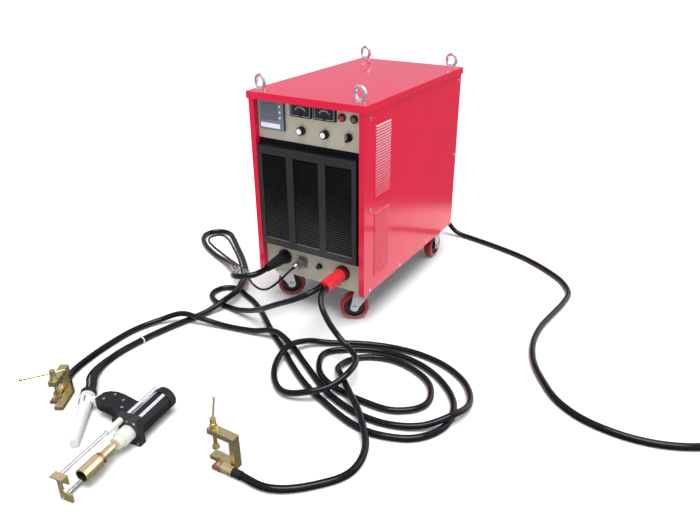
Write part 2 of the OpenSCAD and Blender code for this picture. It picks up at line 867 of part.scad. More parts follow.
module caster_bolt() {
  hex(bolt_head_d, plate_z - bolt_head_t, plate_z);
  disc(bolt_d, plate_z - overrun, base_z + tray_t + nut_t + overrun);
  hex(nut_d, base_z + tray_t, base_z + tray_t + nut_t);
}

module fasteners() {
  color("gainsboro") {
    for (s = [0, 1]) mirror([s, 0, 0]) side_screw_places() panel_screw();
    caster_places() bolt_places() caster_bolt();
    for (p = eye_places) translate([p[0], p[1], rail_z - eye_nut_t]) difference() {
      hex(eye_nut_d, 0, eye_nut_t);
      disc(eye_shank_d + screw_play, -overrun, eye_nut_t + overrun);
    }
  }
}

// Controls

module digital_controller() {
  body = controller_size - 2 * controller_edge;
  color("slategray") control_places([controller_x], controller_drop) {
    soft_slab(controller_size, controller_size, bezel_corner, 0, controller_bezel);
    slab(body, body, -panel_sheet - controller_body_l, controller_bezel / 2);
  }
}

module panel_meters() {
  color("dimgray") control_places(meter_x, meter_drop) {
    soft_slab(meter_w, meter_h, bezel_corner, 0, meter_bezel);
    slab(meter_w - 2 * meter_edge, meter_h - 2 * meter_edge, -panel_sheet - meter_body_l,
      meter_bezel / 2);
  }
}

module lamp_bezels() {
  color("black") control_places(lamp_x, lamp_drop) difference() {
    union() {
      disc(lamp_d, 0, lamp_bezel_l);
      disc(lamp_body_d, -panel_sheet - lamp_body_l, lamp_bezel_l / 2);
    }
    disc(lens_d + fit, lamp_bezel_l - lens_depth, lamp_bezel_l + overrun);
  }
}

module lamp_lens() {
  r = lens_d / 2;
  foot = lamp_bezel_l - lens_depth;
  dome_r = (r * r + lens_dome * lens_dome) / (2 * lens_dome);
  disc(lens_d, foot, lamp_bezel_l);
  intersection() {
    translate([0, 0, lamp_bezel_l + lens_dome - dome_r]) sphere(dome_r);
    disc(lens_d, foot, lamp_bezel_l + lens_dome + overrun);
  }
}

module lamp_lenses() {
  color("red") control_places(lamp_x, lamp_drop) lamp_lens();
}

// A potentiometer: body behind the panel, threaded bush, nut and shaft in front
module pot() {
  disc(pot_d, -panel_sheet - pot_l, -panel_sheet);
  disc(pot_bush_d, -panel_sheet - overrun, pot_nut_t);
  hex(pot_nut_d, 0, pot_nut_t);
  disc(pot_shaft_d, 0, knob_l - knob_wall);
}

module control_pots() {
  color("darkgray") {
    control_places(knob_x, knob_drop) pot();
    control_places([selector_x], selector_drop) pot();
  }
}

module knob(d) {
  difference() {
    union() {
      translate([0, 0, knob_gap]) cylinder(h = knob_skirt, d = d);
      translate([0, 0, knob_gap]) cylinder(h = knob_l - knob_gap, d1 = d * knob_taper_share,
        d2 = d * knob_taper_share - knob_cap_t);
      disc(d * knob_cap_share, knob_l / 2, knob_l + knob_cap_t);
    }
    disc(pot_shaft_d + 2 * running, -overrun, knob_l - knob_wall + fit);
    disc(pot_nut_d + 2 * play, -overrun, knob_gap + play);
  }
}

module current_knob() {
  color("black") control_places([knob_x[0]], knob_drop) knob(knob_d);
}

module time_knob() {
  color("black") control_places([knob_x[1]], knob_drop) knob(knob_d);
}

module selector_knob() {
  bar_w = selector_d * pointer_w_share;
  color("black") control_places([selector_x], selector_drop) difference() {
    union() {
      disc(selector_d, knob_gap, knob_gap + knob_skirt);
      soft_slab(bar_w, selector_d, selector_d * pointer_round_share, knob_gap, knob_l);
    }
    disc(pot_shaft_d + 2 * running, -overrun, knob_l - knob_wall + fit);
    disc(pot_nut_d + 2 * play, -overrun, knob_gap + play);
  }
}

// Sockets and plugs

pin_d = socket_body_d - 4 * socket_wall;

module power_socket() {
  difference() {
    union() {
      disc(socket_flange_d, 0, socket_flange_t);
      disc(socket_body_d, -panel_sheet - socket_body_l, overrun);
    }
    disc(pin_d + 2 * pin_play, socket_flange_t - pin_l - overrun, socket_flange_t + overrun);
  }
}

module control_socket() {
  difference() {
    union() {
      soft_slab(control_flange, control_flange, bezel_corner, 0, control_flange_t);
      disc(control_body_d, -panel_sheet - control_body_l, overrun);
    }
    disc(control_hub_d + 2 * pin_play, -panel_sheet, control_flange_t + overrun);
  }
}

module panel_sockets() {
  color("dimgray") {
    for (at = [gun_socket_at, earth_socket_at]) on_socket_panel(at) power_socket();
    on_socket_panel(control_socket_at) control_socket();
  }
}

module gun_plug() {
  root = socket_flange_t;
  color("black") on_socket_panel(gun_socket_at) {
    disc(pin_d, root - pin_l, root + overrun);
    disc(gun_plug_root_d, root, root + gun_plug_root_l);
    translate([0, 0, root + gun_plug_root_l]) cylinder(h = gun_plug_l - gun_plug_root_l,
      d1 = gun_plug_root_d, d2 = gun_plug_tail_d);
  }
}

module earth_plug() {
  root = socket_flange_t;
  color("red") on_socket_panel(earth_socket_at) {
    disc(pin_d, root - pin_l, root + overrun);
    disc(earth_plug_ring_d, root, root + earth_plug_ring_l);
    disc(earth_plug_d, root, root + earth_plug_l);
  }
}

module control_plug() {
  ring_end = control_flange_t + control_ring_l;
  shell_end = ring_end + control_shell_l;
  color("silver") on_socket_panel(control_socket_at) {
    disc(control_hub_d, 0, ring_end);
    disc(control_ring_d, control_flange_t, ring_end);
    disc(control_shell_d, ring_end, shell_end);
    translate([0, 0, shell_end]) cylinder(h = control_tail_l, d1 = control_shell_d, d2 = control_tail_d);
  }
}

module fuse_holder() {
  color("black") on_socket_panel(fuse_at) {
    disc(fuse_rim_d, 0, fuse_rim_t);
    disc(fuse_cap_d, 0, fuse_cap_l);
    disc(fuse_body_d, -panel_sheet - fuse_body_l, overrun);
  }
}

module earth_stud() {
  color("goldenrod") on_socket_panel(earth_stud_at) {
    disc(stud_d, -panel_sheet - stud_in, stud_out);
    disc(stud_washer_d, 0, stud_washer_t);
    hex(stud_nut_d, stud_washer_t, stud_washer_t + stud_nut_t);
    hex(stud_nut_d, -panel_sheet - stud_nut_t, -panel_sheet);
  }
}

// Inside the cabinet

core_z = base_z + tray_t + core_foot_h;
core_limb_pitch = (core_w - core_limb) / 2;

module transformer_core() {
  window_w = core_limb_pitch - core_limb;
  color("gray") {
    difference() {
      translate([0, core_y, 0]) block([-core_w / 2, -core_d / 2, core_z], [core_w / 2, core_d / 2,
        core_z + core_h]);
      for (s = [-1, 1]) translate([s * core_limb_pitch / 2, core_y, 0])
        block([-window_w / 2, -core_d / 2 - overrun, core_z + core_limb], [window_w / 2,
          core_d / 2 + overrun, core_z + core_h - core_limb]);
    }
    for (s = [-1, 1]) translate([s * core_limb_pitch, core_y, 0])
      block([-core_limb / 2, -core_foot_d / 2, base_z + tray_t], [core_limb / 2, core_foot_d / 2,
        core_z]);
  }
}

// A rectangular coil round a limb
module coil(limb_w, limb_d, wall, h) {
  difference() {
    soft_slab(limb_w + 2 * (wall + coil_gap), limb_d + 2 * (wall + coil_gap), wall / 2, 0, h);
    slab(limb_w + 2 * coil_gap, limb_d + 2 * coil_gap, -overrun, h + overrun);
  }
}

module transformer_windings() {
  window_h = core_h - 2 * core_limb;
  color("darkorange") for (k = [-1, 0, 1])
    translate([k * core_limb_pitch, core_y, core_z + core_limb + play])
      coil(core_limb, core_d, coil_wall, window_h - 2 * play);
}

module output_choke() {
  color("peru") translate([choke_at[0], choke_at[1], base_z + tray_t]) {
    difference() {
      slab(choke_w, choke_d, 0, choke_h);
      for (s = [-1, 1]) translate([s * choke_w / 4, 0, 0])
        slab(choke_w / 2 - choke_limb, choke_d + overrun, choke_limb / 2, choke_h - choke_limb / 2);
    }
    translate([0, 0, choke_limb / 2 + play]) coil(choke_limb, choke_d, choke_coil_wall - coil_gap,
      choke_h - choke_limb - 2 * play);
  }
}

module rectifier_stack() {
  fin_pitch = (rectifier_w - rectifier_fin_t) / (rectifier_fins - 1);
  color("lightsteelblue") translate([rectifier_at[0], rectifier_at[1], base_z + tray_t]) {
    slab(rectifier_w, rectifier_base_t, 0, rectifier_h);
    for (k = [0 : rectifier_fins - 1]) translate([-rectifier_w / 2 + k * fin_pitch, 0, 0])
      cube([rectifier_fin_t, rectifier_d, rectifier_h]);
    for (k = [-1, 0, 1]) translate([k * rectifier_w / 3, -rectifier_base_t / 2 - module_t / 2,
      (rectifier_h - module_h) / 2])
      slab(module_w, module_t, 0, module_h);
  }
}

module control_board() {
  board_bottom = control_bottom + board_edge;
  color("forestgreen") on_panel(board_at_x, board_bottom + board_h / 2) translate([0, 0,
    -panel_sheet - board_gap]) {
    slab(board_w, board_h, -board_t, 0);
    for (sx = [-1, 1], sy = [-1, 1]) translate([sx * (board_w / 2 - board_edge),
      sy * (board_h / 2 - board_edge), 0])
      disc(standoff_d, -board_t, board_gap);
    for (s = board_part_shares) translate([(s[0] - 0.5) * board_w, (s[1] - 0.5) * board_h,
      -board_t - s[4] * board_w])
      cube([s[2] * board_w, s[3] * board_h, s[4] * board_w]);
  }
}

// Axial fan on the rear panel: motor boss and spokes at the front, rotor behind them
module fan_frame() {
  half = fan_size / 2;
  color("dimgray") fan_axis() {
    difference() {
      block([-half, fan_y0, -half], [half, rear_y, half]);
      rod_y(fan_y0 - overrun, rear_y + overrun, fan_bore_d);
    }
    for (a = fan_spoke_angles) rotate([0, a, 0])
      block([-half, fan_y0 + fan_spoke_inset, -fan_spoke_w / 2],
        [half, fan_y0 + fan_boss_l - fan_spoke_inset, fan_spoke_w / 2]);
    rod_y(fan_y0, fan_y0 + fan_boss_l, fan_boss_d);
    rod_y(fan_y0 + fan_boss_l / 2, rear_y - fan_boss_l, fan_shaft_d);
  }
}

module fan_rotor() {
  hub_y = fan_y0 + fan_boss_l + play;
  tip = fan_bore_d / 2 - fan_tip_play;
  color("black") fan_axis() difference() {
    union() {
      rod_y(hub_y, hub_y + fan_hub_l, fan_hub_d);
      intersection() {
        for (k = [0 : fan_blades - 1]) rotate([0, 360 * k / fan_blades, 0])
          translate([tip / 2, hub_y + fan_hub_l / 2, 0]) rotate([fan_blade_angle, 0, 0])
            cube([tip, fan_blade_t, fan_blade_w], center = true);
        rod_y(hub_y, hub_y + fan_hub_l, 2 * tip);
      }
    }
    rod_y(hub_y - overrun, hub_y + fan_hub_l + overrun, fan_shaft_d + 2 * running);
  }
}

// Casters

// One fork cheek in the plane of the wheel, from the crown to the axle boss
module fork_cheek(trail, top) {
  rotate([90, 0, 0]) linear_extrude(fork_leg_t) {
    polygon([[-fork_top_half, top], [fork_top_half, top], [trail + fork_boss_r, axle_z],
      [trail - fork_boss_r, axle_z]]);
    translate([trail, axle_z]) circle(fork_boss_r);
  }
}

// Cheeks and axle about a wheel at the given trail
module fork_legs(trail, top) {
  translate([0, leg_gap / 2 + fork_leg_t, 0]) fork_cheek(trail, top);
  translate([0, -leg_gap / 2, 0]) fork_cheek(trail, top);
  translate([trail, 0, axle_z]) {
    rod_y(-leg_gap / 2 - fork_leg_t - axle_head_t, leg_gap / 2 + fork_leg_t + axle_head_t, axle_d);
    for (s = [0, 1]) mirror([0, s, 0]) rod_y(leg_gap / 2 + fork_leg_t,
      leg_gap / 2 + fork_leg_t + axle_head_t, axle_head_d);
  }
}

module swivel_fork() {
  crown_w = leg_gap + 2 * fork_leg_t;
  difference() {
    union() {
      slab(2 * fork_top_half, crown_w, crown_z, crown_top);
      disc(crown_ring_d, crown_z, crown_top + crown_ring_h);
      fork_legs(caster_trail, crown_top);
    }
    disc(kingpin_d + 2 * running, crown_z - overrun, race_z + overrun);
  }
}

module caster_plate() {
  difference() {
    slab(plate_w, plate_l, plate_z, base_z);
    bolt_places() disc(bolt_d + screw_play, plate_z - overrun, base_z + overrun);
  }
}

module caster_mounts() {
  color("silver") {
    for (sx = [-1, 1]) translate([sx * caster_x, -caster_y, 0]) {
      caster_plate();
      disc(race_d, race_z, plate_z);
      disc(kingpin_d, kingpin_z, plate_z);
      hex(kingpin_nut_d, kingpin_z, kingpin_z + kingpin_nut_t);
    }
    for (sx = [-1, 1]) translate([sx * caster_x, caster_y, 0]) {
      caster_plate();
      rotate([0, 0, 90]) fork_legs(0, plate_z);
    }
  }
}

module front_left_fork() {
  color("silver") translate([-caster_x, -caster_y, 0]) rotate([0, 0, front_left_turn]) swivel_fork();
}

module front_right_fork() {
  color("silver") translate([caster_x, -caster_y, 0]) rotate([0, 0, front_right_turn]) swivel_fork();
}

// A wheel about the Y axis at its own centre
module wheel() {
  r = wheel_d / 2;
  w = wheel_w / 2;
  web = wheel_d * web_d_share / 2;
  bore = axle_d / 2 + running;
  rotate([90, 0, 0]) rotate_extrude() polygon([[bore, -hub_w / 2], [hub_d / 2, -hub_w / 2], [hub_d / 2,
    -w + web_recess],
    [web, -w + web_recess], [web, -w], [r - tread_round, -w], [r, -w + tread_round], [r,
      w - tread_round], [r - tread_round, w],
    [web, w], [web, w - web_recess], [hub_d / 2, w - web_recess], [hub_d / 2, hub_w / 2], [bore,
      hub_w / 2]]);
}

module swivel_wheel(side, turn) {
  color("firebrick") translate([side * caster_x, -caster_y, 0]) rotate([0, 0, turn])
    translate([caster_trail, 0, axle_z]) wheel();
}

module fixed_wheel(side) {
  color("firebrick") translate([side * caster_x, caster_y, axle_z]) rotate([0, 0, 90]) wheel();
}

module front_left_wheel() {
  swivel_wheel(-1, front_left_turn);
}

module front_right_wheel() {
  swivel_wheel(1, front_right_turn);
}

module rear_left_wheel() {
  fixed_wheel(-1);
}

module rear_right_wheel() {
  fixed_wheel(1);
}

// Stud gun

module gun_place() {
  translate([gun_at[0], gun_at[1], gun_z]) rotate([0, 0, gun_turn]) children();
}

module leg_places() {
  for (s = [-1, 1]) translate([0, leg_y, s * leg_z]) children();
}

module gun_barrel() {
  color("black") gun_place() difference() {
    union() {
      rod_x(barrel_x0, -block_l / 2, barrel_d - 2 * barrel_rib_t);
      rod_x(barrel_x0 - barrel_cap_l, barrel_x0 + barrel_cap_l, barrel_d + 2 * barrel_cap_step);
      for (a = barrel_rib_angles, half_turn = [0, 180]) rotate([a + half_turn, 0, 0])
        block([barrel_x0, -barrel_rib_w / 2, barrel_d / 4],
          [-block_l / 2 - fit, barrel_rib_w / 2, barrel_d / 2]);
    }
    rod_x(-block_l / 2 - spindle_back - lift - play, overrun, spindle_bore_d);
  }
}

module gun_grip() {
  trigger_y = trigger_at_share * grip_l;
  trigger_half = trigger_h_share * grip_l / 2 + play;
  front_x = grip_points[len(grip_points) - 1][0];
  color("black") gun_place() {
    difference() {
      translate([0, 0, -grip_t / 2]) linear_extrude(grip_t) polygon(grip_points);
      rod_x(barrel_x0 - overrun, 0, 2 * (barrel_reach + grip_gap));
      block([front_x + trigger_out - trigger_l - trigger_travel - play, trigger_y - trigger_half,
        -trigger_w / 2 - play],
        [front_x + overrun, trigger_y + trigger_half, trigger_w / 2 + play]);
    }
    for (s = grip_screw_shares) translate([s[0] * grip_l, s[1] * grip_l, 0])
      disc(grip_screw_head_d, 0, grip_t / 2 + grip_screw_head_t);
  }
}

module gun_trigger() {
  trigger_y = trigger_at_share * grip_l;
  trigger_half = trigger_h_share * grip_l / 2;
  front_x = grip_points[len(grip_points) - 1][0] + trigger_out;
  color("red") gun_place()
    block([front_x - trigger_l, trigger_y - trigger_half, -trigger_w / 2], [front_x,
      trigger_y + trigger_half, trigger_w / 2]);
}

module gun_front_block() {
  color("dimgray") gun_place() difference() {
    translate([-block_l / 2, -block_w / 2 - block_shift, -block_h / 2]) cube([block_l, block_w, block_h]);
    rod_x(-block_l, block_l, spindle_bore_d);
    leg_places() rod_x(-block_l, block_l, leg_d + 2 * running);
  }
}

module gun_insulator() {
  x0 = block_l / 2;
  color("ivory") gun_place() {
    difference() {
      union() {
        rod_x(x0, x0 + bush_l * bush_nose_share, bush_d);
        rod_x(x0, x0 + bush_l, bush_nose_d);
      }
      rod_x(x0 - overrun, x0 + bush_l + overrun, spindle_d + 2 * running);
    }
    leg_places() difference() {
      rod_x(x0, x0 + sleeve_l, sleeve_d);
      rod_x(x0 - overrun, x0 + sleeve_l + overrun, leg_d + 2 * running);
    }
  }
}

module gun_chuck() {
  ring_x = chuck_root + chuck_neck_l;
  tube_x = ring_x + chuck_ring_l;
  mouth_x = tube_x + chuck_l;
  color("goldenrod") gun_place() difference() {
    union() {
      rod_x(-block_l / 2 - spindle_back, chuck_root + overrun, spindle_d);
      rod_x(chuck_root, ring_x, chuck_neck_d);
      rod_x(ring_x, tube_x, chuck_ring_d);
      rod_x(tube_x, mouth_x, chuck_d);
    }
    rod_x(mouth_x - chuck_bore_l, mouth_x + overrun, chuck_bore_d);
  }
}

module gun_legs() {
  color("silver") gun_place() leg_places() rod_x(-leg_back, leg_front, leg_d);
}

// The foot bridges the leg tips, open on the chuck's side, with a lip bent forward
module gun_foot() {
  half = leg_z + foot_edge;
  x1 = leg_front + fit;
  color("goldenrod") gun_place() difference() {
    union() {
      block([x1 - foot_t, leg_y - foot_edge, -leg_z - foot_edge + overrun], [x1, leg_y + foot_reach,
        half]);
      block([x1 - foot_t, leg_y - foot_edge, half - foot_lip_t], [x1 + foot_lip, leg_y + foot_reach,
        half]);
    }
    rod_x(x1 - foot_t - overrun, x1 + overrun, foot_notch_d);
    block([x1 - foot_t - overrun, 0, -foot_notch_d / 2], [x1 + overrun, leg_y + foot_reach + overrun,
      foot_notch_d / 2]);
    leg_places() rod_x(x1 - foot_t - overrun, x1 + overrun, leg_d + 2 * running);
  }
}

// The boot's own frame: +X runs from the mouth to the tail
module boot_place() {
  translate([boot_at[0], boot_at[1], boot_z]) rotate([0, boot_tilt, boot_turn]) children();
}

butt = [butt_at_share[0] * grip_l, butt_at_share[1] * grip_l];
butt_world = [
  gun_at[0] + cos(gun_turn) * butt[0] - sin(gun_turn) * butt[1],
  gun_at[1] + sin(gun_turn) * butt[0] + cos(gun_turn) * butt[1], gun_z];
arm_start = [
  boot_at[0] + cos(boot_turn) * boot_arm_at, boot_at[1] + sin(boot_turn) * boot_arm_at,
  boot_z - sin(boot_tilt) * boot_arm_at];

module cable_boot() {
  arm = butt_world - arm_start;
  color("white") {
    boot_place() {
      rod_x(0, boot_collar_l, boot_collar_d);
      rod_x(0, boot_collar_l + boot_lip_l, boot_lip_d);
      rotate([0, 90, 0]) cylinder(h = boot_l, d1 = boot_mouth_d, d2 = boot_tail_d);
    }
    translate(arm_start) rotate([0, acos(arm[2] / norm(arm)), atan2(arm[1], arm[0])])
      cylinder(h = norm(arm), d = boot_arm_d);
  }
}

// Earth clamps

module right_clamp_place() {
  translate([right_clamp_at[0], right_clamp_at[1], 0]) rotate([0, 0, right_clamp_turn]) children();
}

module left_clamp_place() {
  translate([left_clamp_at[0], left_clamp_at[1], 0]) rotate([0, 0, left_clamp_turn]) children();
}

clamp_screw_x = clamp_l - clamp_screw_inset;
clamp_arm_z = clamp_h - clamp_arm_t;
clamp_pad_z = clamp_arm_z - clamp_pad_drop - clamp_pad_t;
clamp_head_z = clamp_h + clamp_boss_h + clamp_head_gap;

module clamp_frame(side) {
  difference() {
    union() {
      translate([0, -clamp_bar_w / 2, 0]) {
        cube([clamp_bar_t, clamp_bar_w, clamp_h]);
        cube([clamp_l, clamp_bar_w, clamp_jaw_t]);
        translate([0, 0, clamp_arm_z]) cube([clamp_l, clamp_bar_w, clamp_arm_t]);
      }
      translate([clamp_screw_x, 0, 0]) disc(clamp_boss_d, clamp_arm_z, clamp_h + clamp_boss_h);
      translate([clamp_l / 2 - ear_l / 2, side > 0 ? 0 : -clamp_bar_w / 2 - ear_w, 0])
        cube([ear_l, clamp_bar_w / 2 + ear_w, ear_t]);
    }
    translate([clamp_screw_x, 0, 0]) disc(clamp_screw_d + 2 * running, clamp_arm_z - overrun,
      clamp_h + clamp_boss_h + overrun);
    translate([clamp_l / 2, side * lug_out, 0]) disc(lug_bolt_d + screw_play, -overrun, ear_t + overrun);
  }
}

module clamp_frames() {
  color("goldenrod") {
    right_clamp_place() clamp_frame(right_clamp_side);
    left_clamp_place() clamp_frame(left_clamp_side);
  }
}

// The pad turns on a neck under the screw and slides with it
module clamp_pad() {
  translate([clamp_screw_x, 0, 0]) difference() {
    disc(clamp_pad_d, clamp_pad_z, clamp_pad_z + clamp_pad_t);
    disc(clamp_pad_neck_d + 2 * running, clamp_pad_z + clamp_pad_t - clamp_pad_neck_l,
      clamp_pad_z + clamp_pad_t + overrun);
  }
}

module clamp_screw(turn, shift) {
  pad_top = clamp_pad_z + clamp_pad_t;
  head_mid = clamp_head_z + clamp_head_h / 2;
  translate([clamp_screw_x, 0, 0]) {
    disc(clamp_pad_neck_d, pad_top - clamp_pad_neck_l + play, pad_top + play + overrun);
    disc(clamp_screw_d, pad_top + play, clamp_head_z + overrun);
    disc(clamp_head_d, clamp_head_z, clamp_head_z + clamp_head_h);
    translate([0, 0, head_mid]) rotate([0, 0, turn]) {
      rod_x(shift - tbar_l / 2, shift + tbar_l / 2, tbar_d);
      for (s = [-1, 1]) translate([shift + s * tbar_l / 2, 0, 0]) sphere(d = tbar_ball_d);
    }
  }
}

module right_clamp_pad() {
  color("goldenrod") right_clamp_place() clamp_pad();
}

module left_clamp_pad() {
  color("goldenrod") left_clamp_place() clamp_pad();
}

module right_clamp_screw() {
  color("gainsboro") right_clamp_place() clamp_screw(right_tbar_turn, right_tbar_shift);
}

module left_clamp_screw() {
  color("gainsboro") left_clamp_place() clamp_screw(left_tbar_turn, left_tbar_shift);
}

// A cable lug on the clamp's ear: tongue, barrel, and the bolt that holds it
module clamp_lug(side) {
  tongue_x = clamp_l / 2 - lug_tongue_l / 2;
  translate([0, side * lug_out, 0]) {
    difference() {
      union() {
        block([tongue_x - overrun, -lug_tongue_w / 2, ear_t], [tongue_x + lug_tongue_l, lug_tongue_w / 2,
          ear_t + lug_tongue_t]);
        translate([0, 0, lug_z]) rod_x(tongue_x - lug_barrel_l, tongue_x, lug_barrel_d);
        translate([0, 0, lug_z]) rod_x(-lug_back, tongue_x, lug_sleeve_d);
      }
      translate([clamp_l / 2, 0, 0]) disc(lug_bolt_d + screw_play, ear_t - overrun,
        ear_t + lug_tongue_t + overrun);
    }
    translate([clamp_l / 2, 0, 0]) {
      disc(lug_bolt_d, 0, ear_t + lug_tongue_t + overrun);
      hex(bolt_head_d, ear_t + lug_tongue_t, ear_t + lug_tongue_t + bolt_head_t);
    }
  }
}

module clamp_lugs() {
  color("peru") {
    right_clamp_place() clamp_lug(right_clamp_side);
    left_clamp_place() clamp_lug(left_clamp_side);
  }
}

// Cables

module gun_cable() {
  color("black") cable(gun_route, gun_cable_d);
}

module control_cable() {
  color("black") cable(control_route, control_cable_d);
}

module right_earth_cable() {
  color("black") cable(right_earth_route, earth_cable_d);
}

module left_earth_cable() {
  color("black") cable(left_earth_route, earth_cable_d);
}

module mains_cable() {
  color("black") cable(mains_route, mains_cable_d);
}

module mains_gland() {
  translate([gland_x, 0, base_z + gland_rise]) {
    rod_y(rear_y - gland_thread_l, half_d, gland_thread_d);
    rod_y(rear_y - gland_nut_t, rear_y, gland_nut_d);
    rod_y(half_d - sheet, half_d + gland_nut_t, gland_nut_d);
    translate([0, half_d + gland_nut_t, 0]) rotate([-90, 0, 0])
      cylinder(h = gland_l - gland_nut_t, d1 = gland_thread_d, d2 = gland_tail_d);
  }
}

// A round plug with pins proud of its face
module mains_plug() {
  face = mains_plug_grip_l + mains_plug_l;
  translate(mains_route[len(mains_route) - 1]) rotate([-90, 0, 0]) {
    cylinder(h = mains_plug_grip_l, d1 = mains_plug_tail_d, d2 = mains_plug_grip_d);
    disc(mains_plug_d, mains_plug_grip_l - overrun, face);
    for (a = mains_pin_angles) rotate([0, 0, a]) translate([mains_pin_ring, 0, 0])
      disc(mains_pin_d, face - overrun, face + mains_pin_l);
  }
}

// The pieces on the mains cable: the gland in the rear panel and the plug at the far end
module mains_fittings() {
  color("red") {
    mains_gland();
    mains_plug();
  }
}

base_frame();
left_side_panel();
right_side_panel();
top_cover();
rear_panel();
control_panel();
front_grille();
grille_louvres();
socket_panel();
lifting_eyes();
fasteners();
digital_controller();
panel_meters();
lamp_bezels();
lamp_lenses();
current_knob();
time_knob();
selector_knob();
control_pots();
panel_sockets();
gun_plug();
control_plug();
fuse_holder();
earth_plug();
earth_stud();
transformer_core();
transformer_windings();
rectifier_stack();
output_choke();
control_board();
fan_frame();
fan_rotor();
caster_mounts();
front_left_fork();
front_right_fork();
front_left_wheel();
front_right_wheel();
rear_left_wheel();
rear_right_wheel();
gun_barrel();
gun_grip();
gun_trigger();
gun_front_block();
gun_insulator();
gun_chuck();
gun_legs();
gun_foot();
cable_boot();
clamp_frames();
right_clamp_pad();
right_clamp_screw();
left_clamp_pad();
left_clamp_screw();
clamp_lugs();
gun_cable();
control_cable();
right_earth_cable();
left_earth_cable();
mains_cable();
mains_fittings();
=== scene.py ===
"""Arc stud welding set: finishes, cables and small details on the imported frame. Metres, floor at z = 0."""
import json
import math

import bmesh
import bpy
from mathutils import Matrix, Vector

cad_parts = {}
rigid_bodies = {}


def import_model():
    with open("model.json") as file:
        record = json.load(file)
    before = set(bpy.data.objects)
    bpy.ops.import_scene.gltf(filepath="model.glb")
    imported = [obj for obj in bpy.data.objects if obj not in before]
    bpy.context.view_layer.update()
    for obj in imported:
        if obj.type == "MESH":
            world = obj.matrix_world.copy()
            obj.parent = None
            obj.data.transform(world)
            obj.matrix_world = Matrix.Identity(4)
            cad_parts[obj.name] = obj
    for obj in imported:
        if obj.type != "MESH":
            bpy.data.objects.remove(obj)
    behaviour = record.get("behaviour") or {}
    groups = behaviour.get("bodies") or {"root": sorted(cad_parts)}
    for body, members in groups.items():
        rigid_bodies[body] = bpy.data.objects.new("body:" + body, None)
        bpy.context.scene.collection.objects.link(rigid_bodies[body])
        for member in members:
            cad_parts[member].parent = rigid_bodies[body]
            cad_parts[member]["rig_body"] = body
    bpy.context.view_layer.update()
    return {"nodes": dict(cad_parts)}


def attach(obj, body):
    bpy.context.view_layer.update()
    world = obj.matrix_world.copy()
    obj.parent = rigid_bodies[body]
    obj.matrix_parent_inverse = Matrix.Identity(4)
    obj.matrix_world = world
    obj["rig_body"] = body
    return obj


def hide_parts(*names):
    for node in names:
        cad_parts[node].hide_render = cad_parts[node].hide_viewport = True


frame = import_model()
nodes = frame["nodes"]


def spin(degrees, axis):
    """A turn about one axis."""
    return Matrix.Rotation(math.radians(degrees), 4, axis)


# Places in the CAD that the details are set out from

FRONT_Y = -0.345
COVER_TOP = 0.761
BASE_Z = 0.128
GUN_PLACE = Matrix.Translation((-0.039, -1.145, 0.042)) @ spin(-82, "Z")
RIGHT_CLAMP = Matrix.Translation((0.262, -1.078, 0)) @ spin(180, "Z")
LEFT_CLAMP = Matrix.Translation((-0.362, -1.092, 0)) @ spin(-60, "Z")
BOOT_PLACE = Matrix.Translation((-0.285, -1.086, 0.023)) @ spin(-50, "Z") @ spin(2.6, "Y")
ALONG_X = spin(90, "Y")
OUT_OF_FRONT = spin(90, "X")

# Camera, light and floor

CAMERA_PLACE = (1.1356, -1.9833, 1.1915)
CAMERA_TURN = spin(31.018, "Z") @ spin(63.396, "X") @ spin(-0.224, "Z")
SOFT_LIGHT = 0.6
MIRRORED_LIGHT = 0.48
PANEL_LIGHT = 1.7
PANEL_WAY = (0.412, 0.809, 0.418)
PANEL_RIM = 0.8
PANEL_CORE = 0.92
SUN_TURN = (math.radians(13), math.radians(6), math.radians(24))
FLOOR_HALF = 30.0
FLOOR_Z = -0.0005
BRIGHT_FLOOR = 0.85
DIM_FLOOR = 1.0


def link(thing):
    """Puts an object into the scene."""
    bpy.context.scene.collection.objects.link(thing)


def place_camera():
    """The photograph's view: 31 degrees to the right of the front, 27 degrees down."""
    lens = bpy.data.cameras.new("photo_view")
    lens.sensor_width = 36.0
    lens.lens = 33.245
    lens.clip_end = 100.0
    camera = bpy.data.objects.new("photo_view", lens)
    camera.matrix_world = Matrix.Translation(CAMERA_PLACE) @ CAMERA_TURN
    link(camera)
    bpy.context.scene.camera = camera


def add(tree, kind, settings=None, **sockets):
    """A node of a tree with its settings, and its inputs set or linked."""
    made = tree.nodes.new(kind)
    for key, value in (settings or {}).items():
        setattr(made, key, value)
    for key, value in sockets.items():
        socket = made.inputs[key.replace("_", " ")]
        if isinstance(value, bpy.types.NodeSocket):
            tree.links.new(value, socket)
        else:
            socket.default_value = value
    return made


def two_lights(tree, factor, first, second):
    """One light where a factor is 0 and another where it is 1."""
    both = add(tree, "ShaderNodeMixShader", Fac=factor)
    tree.links.new(first.outputs[0], both.inputs[1])
    tree.links.new(second.outputs[0], both.inputs[2])
    return both


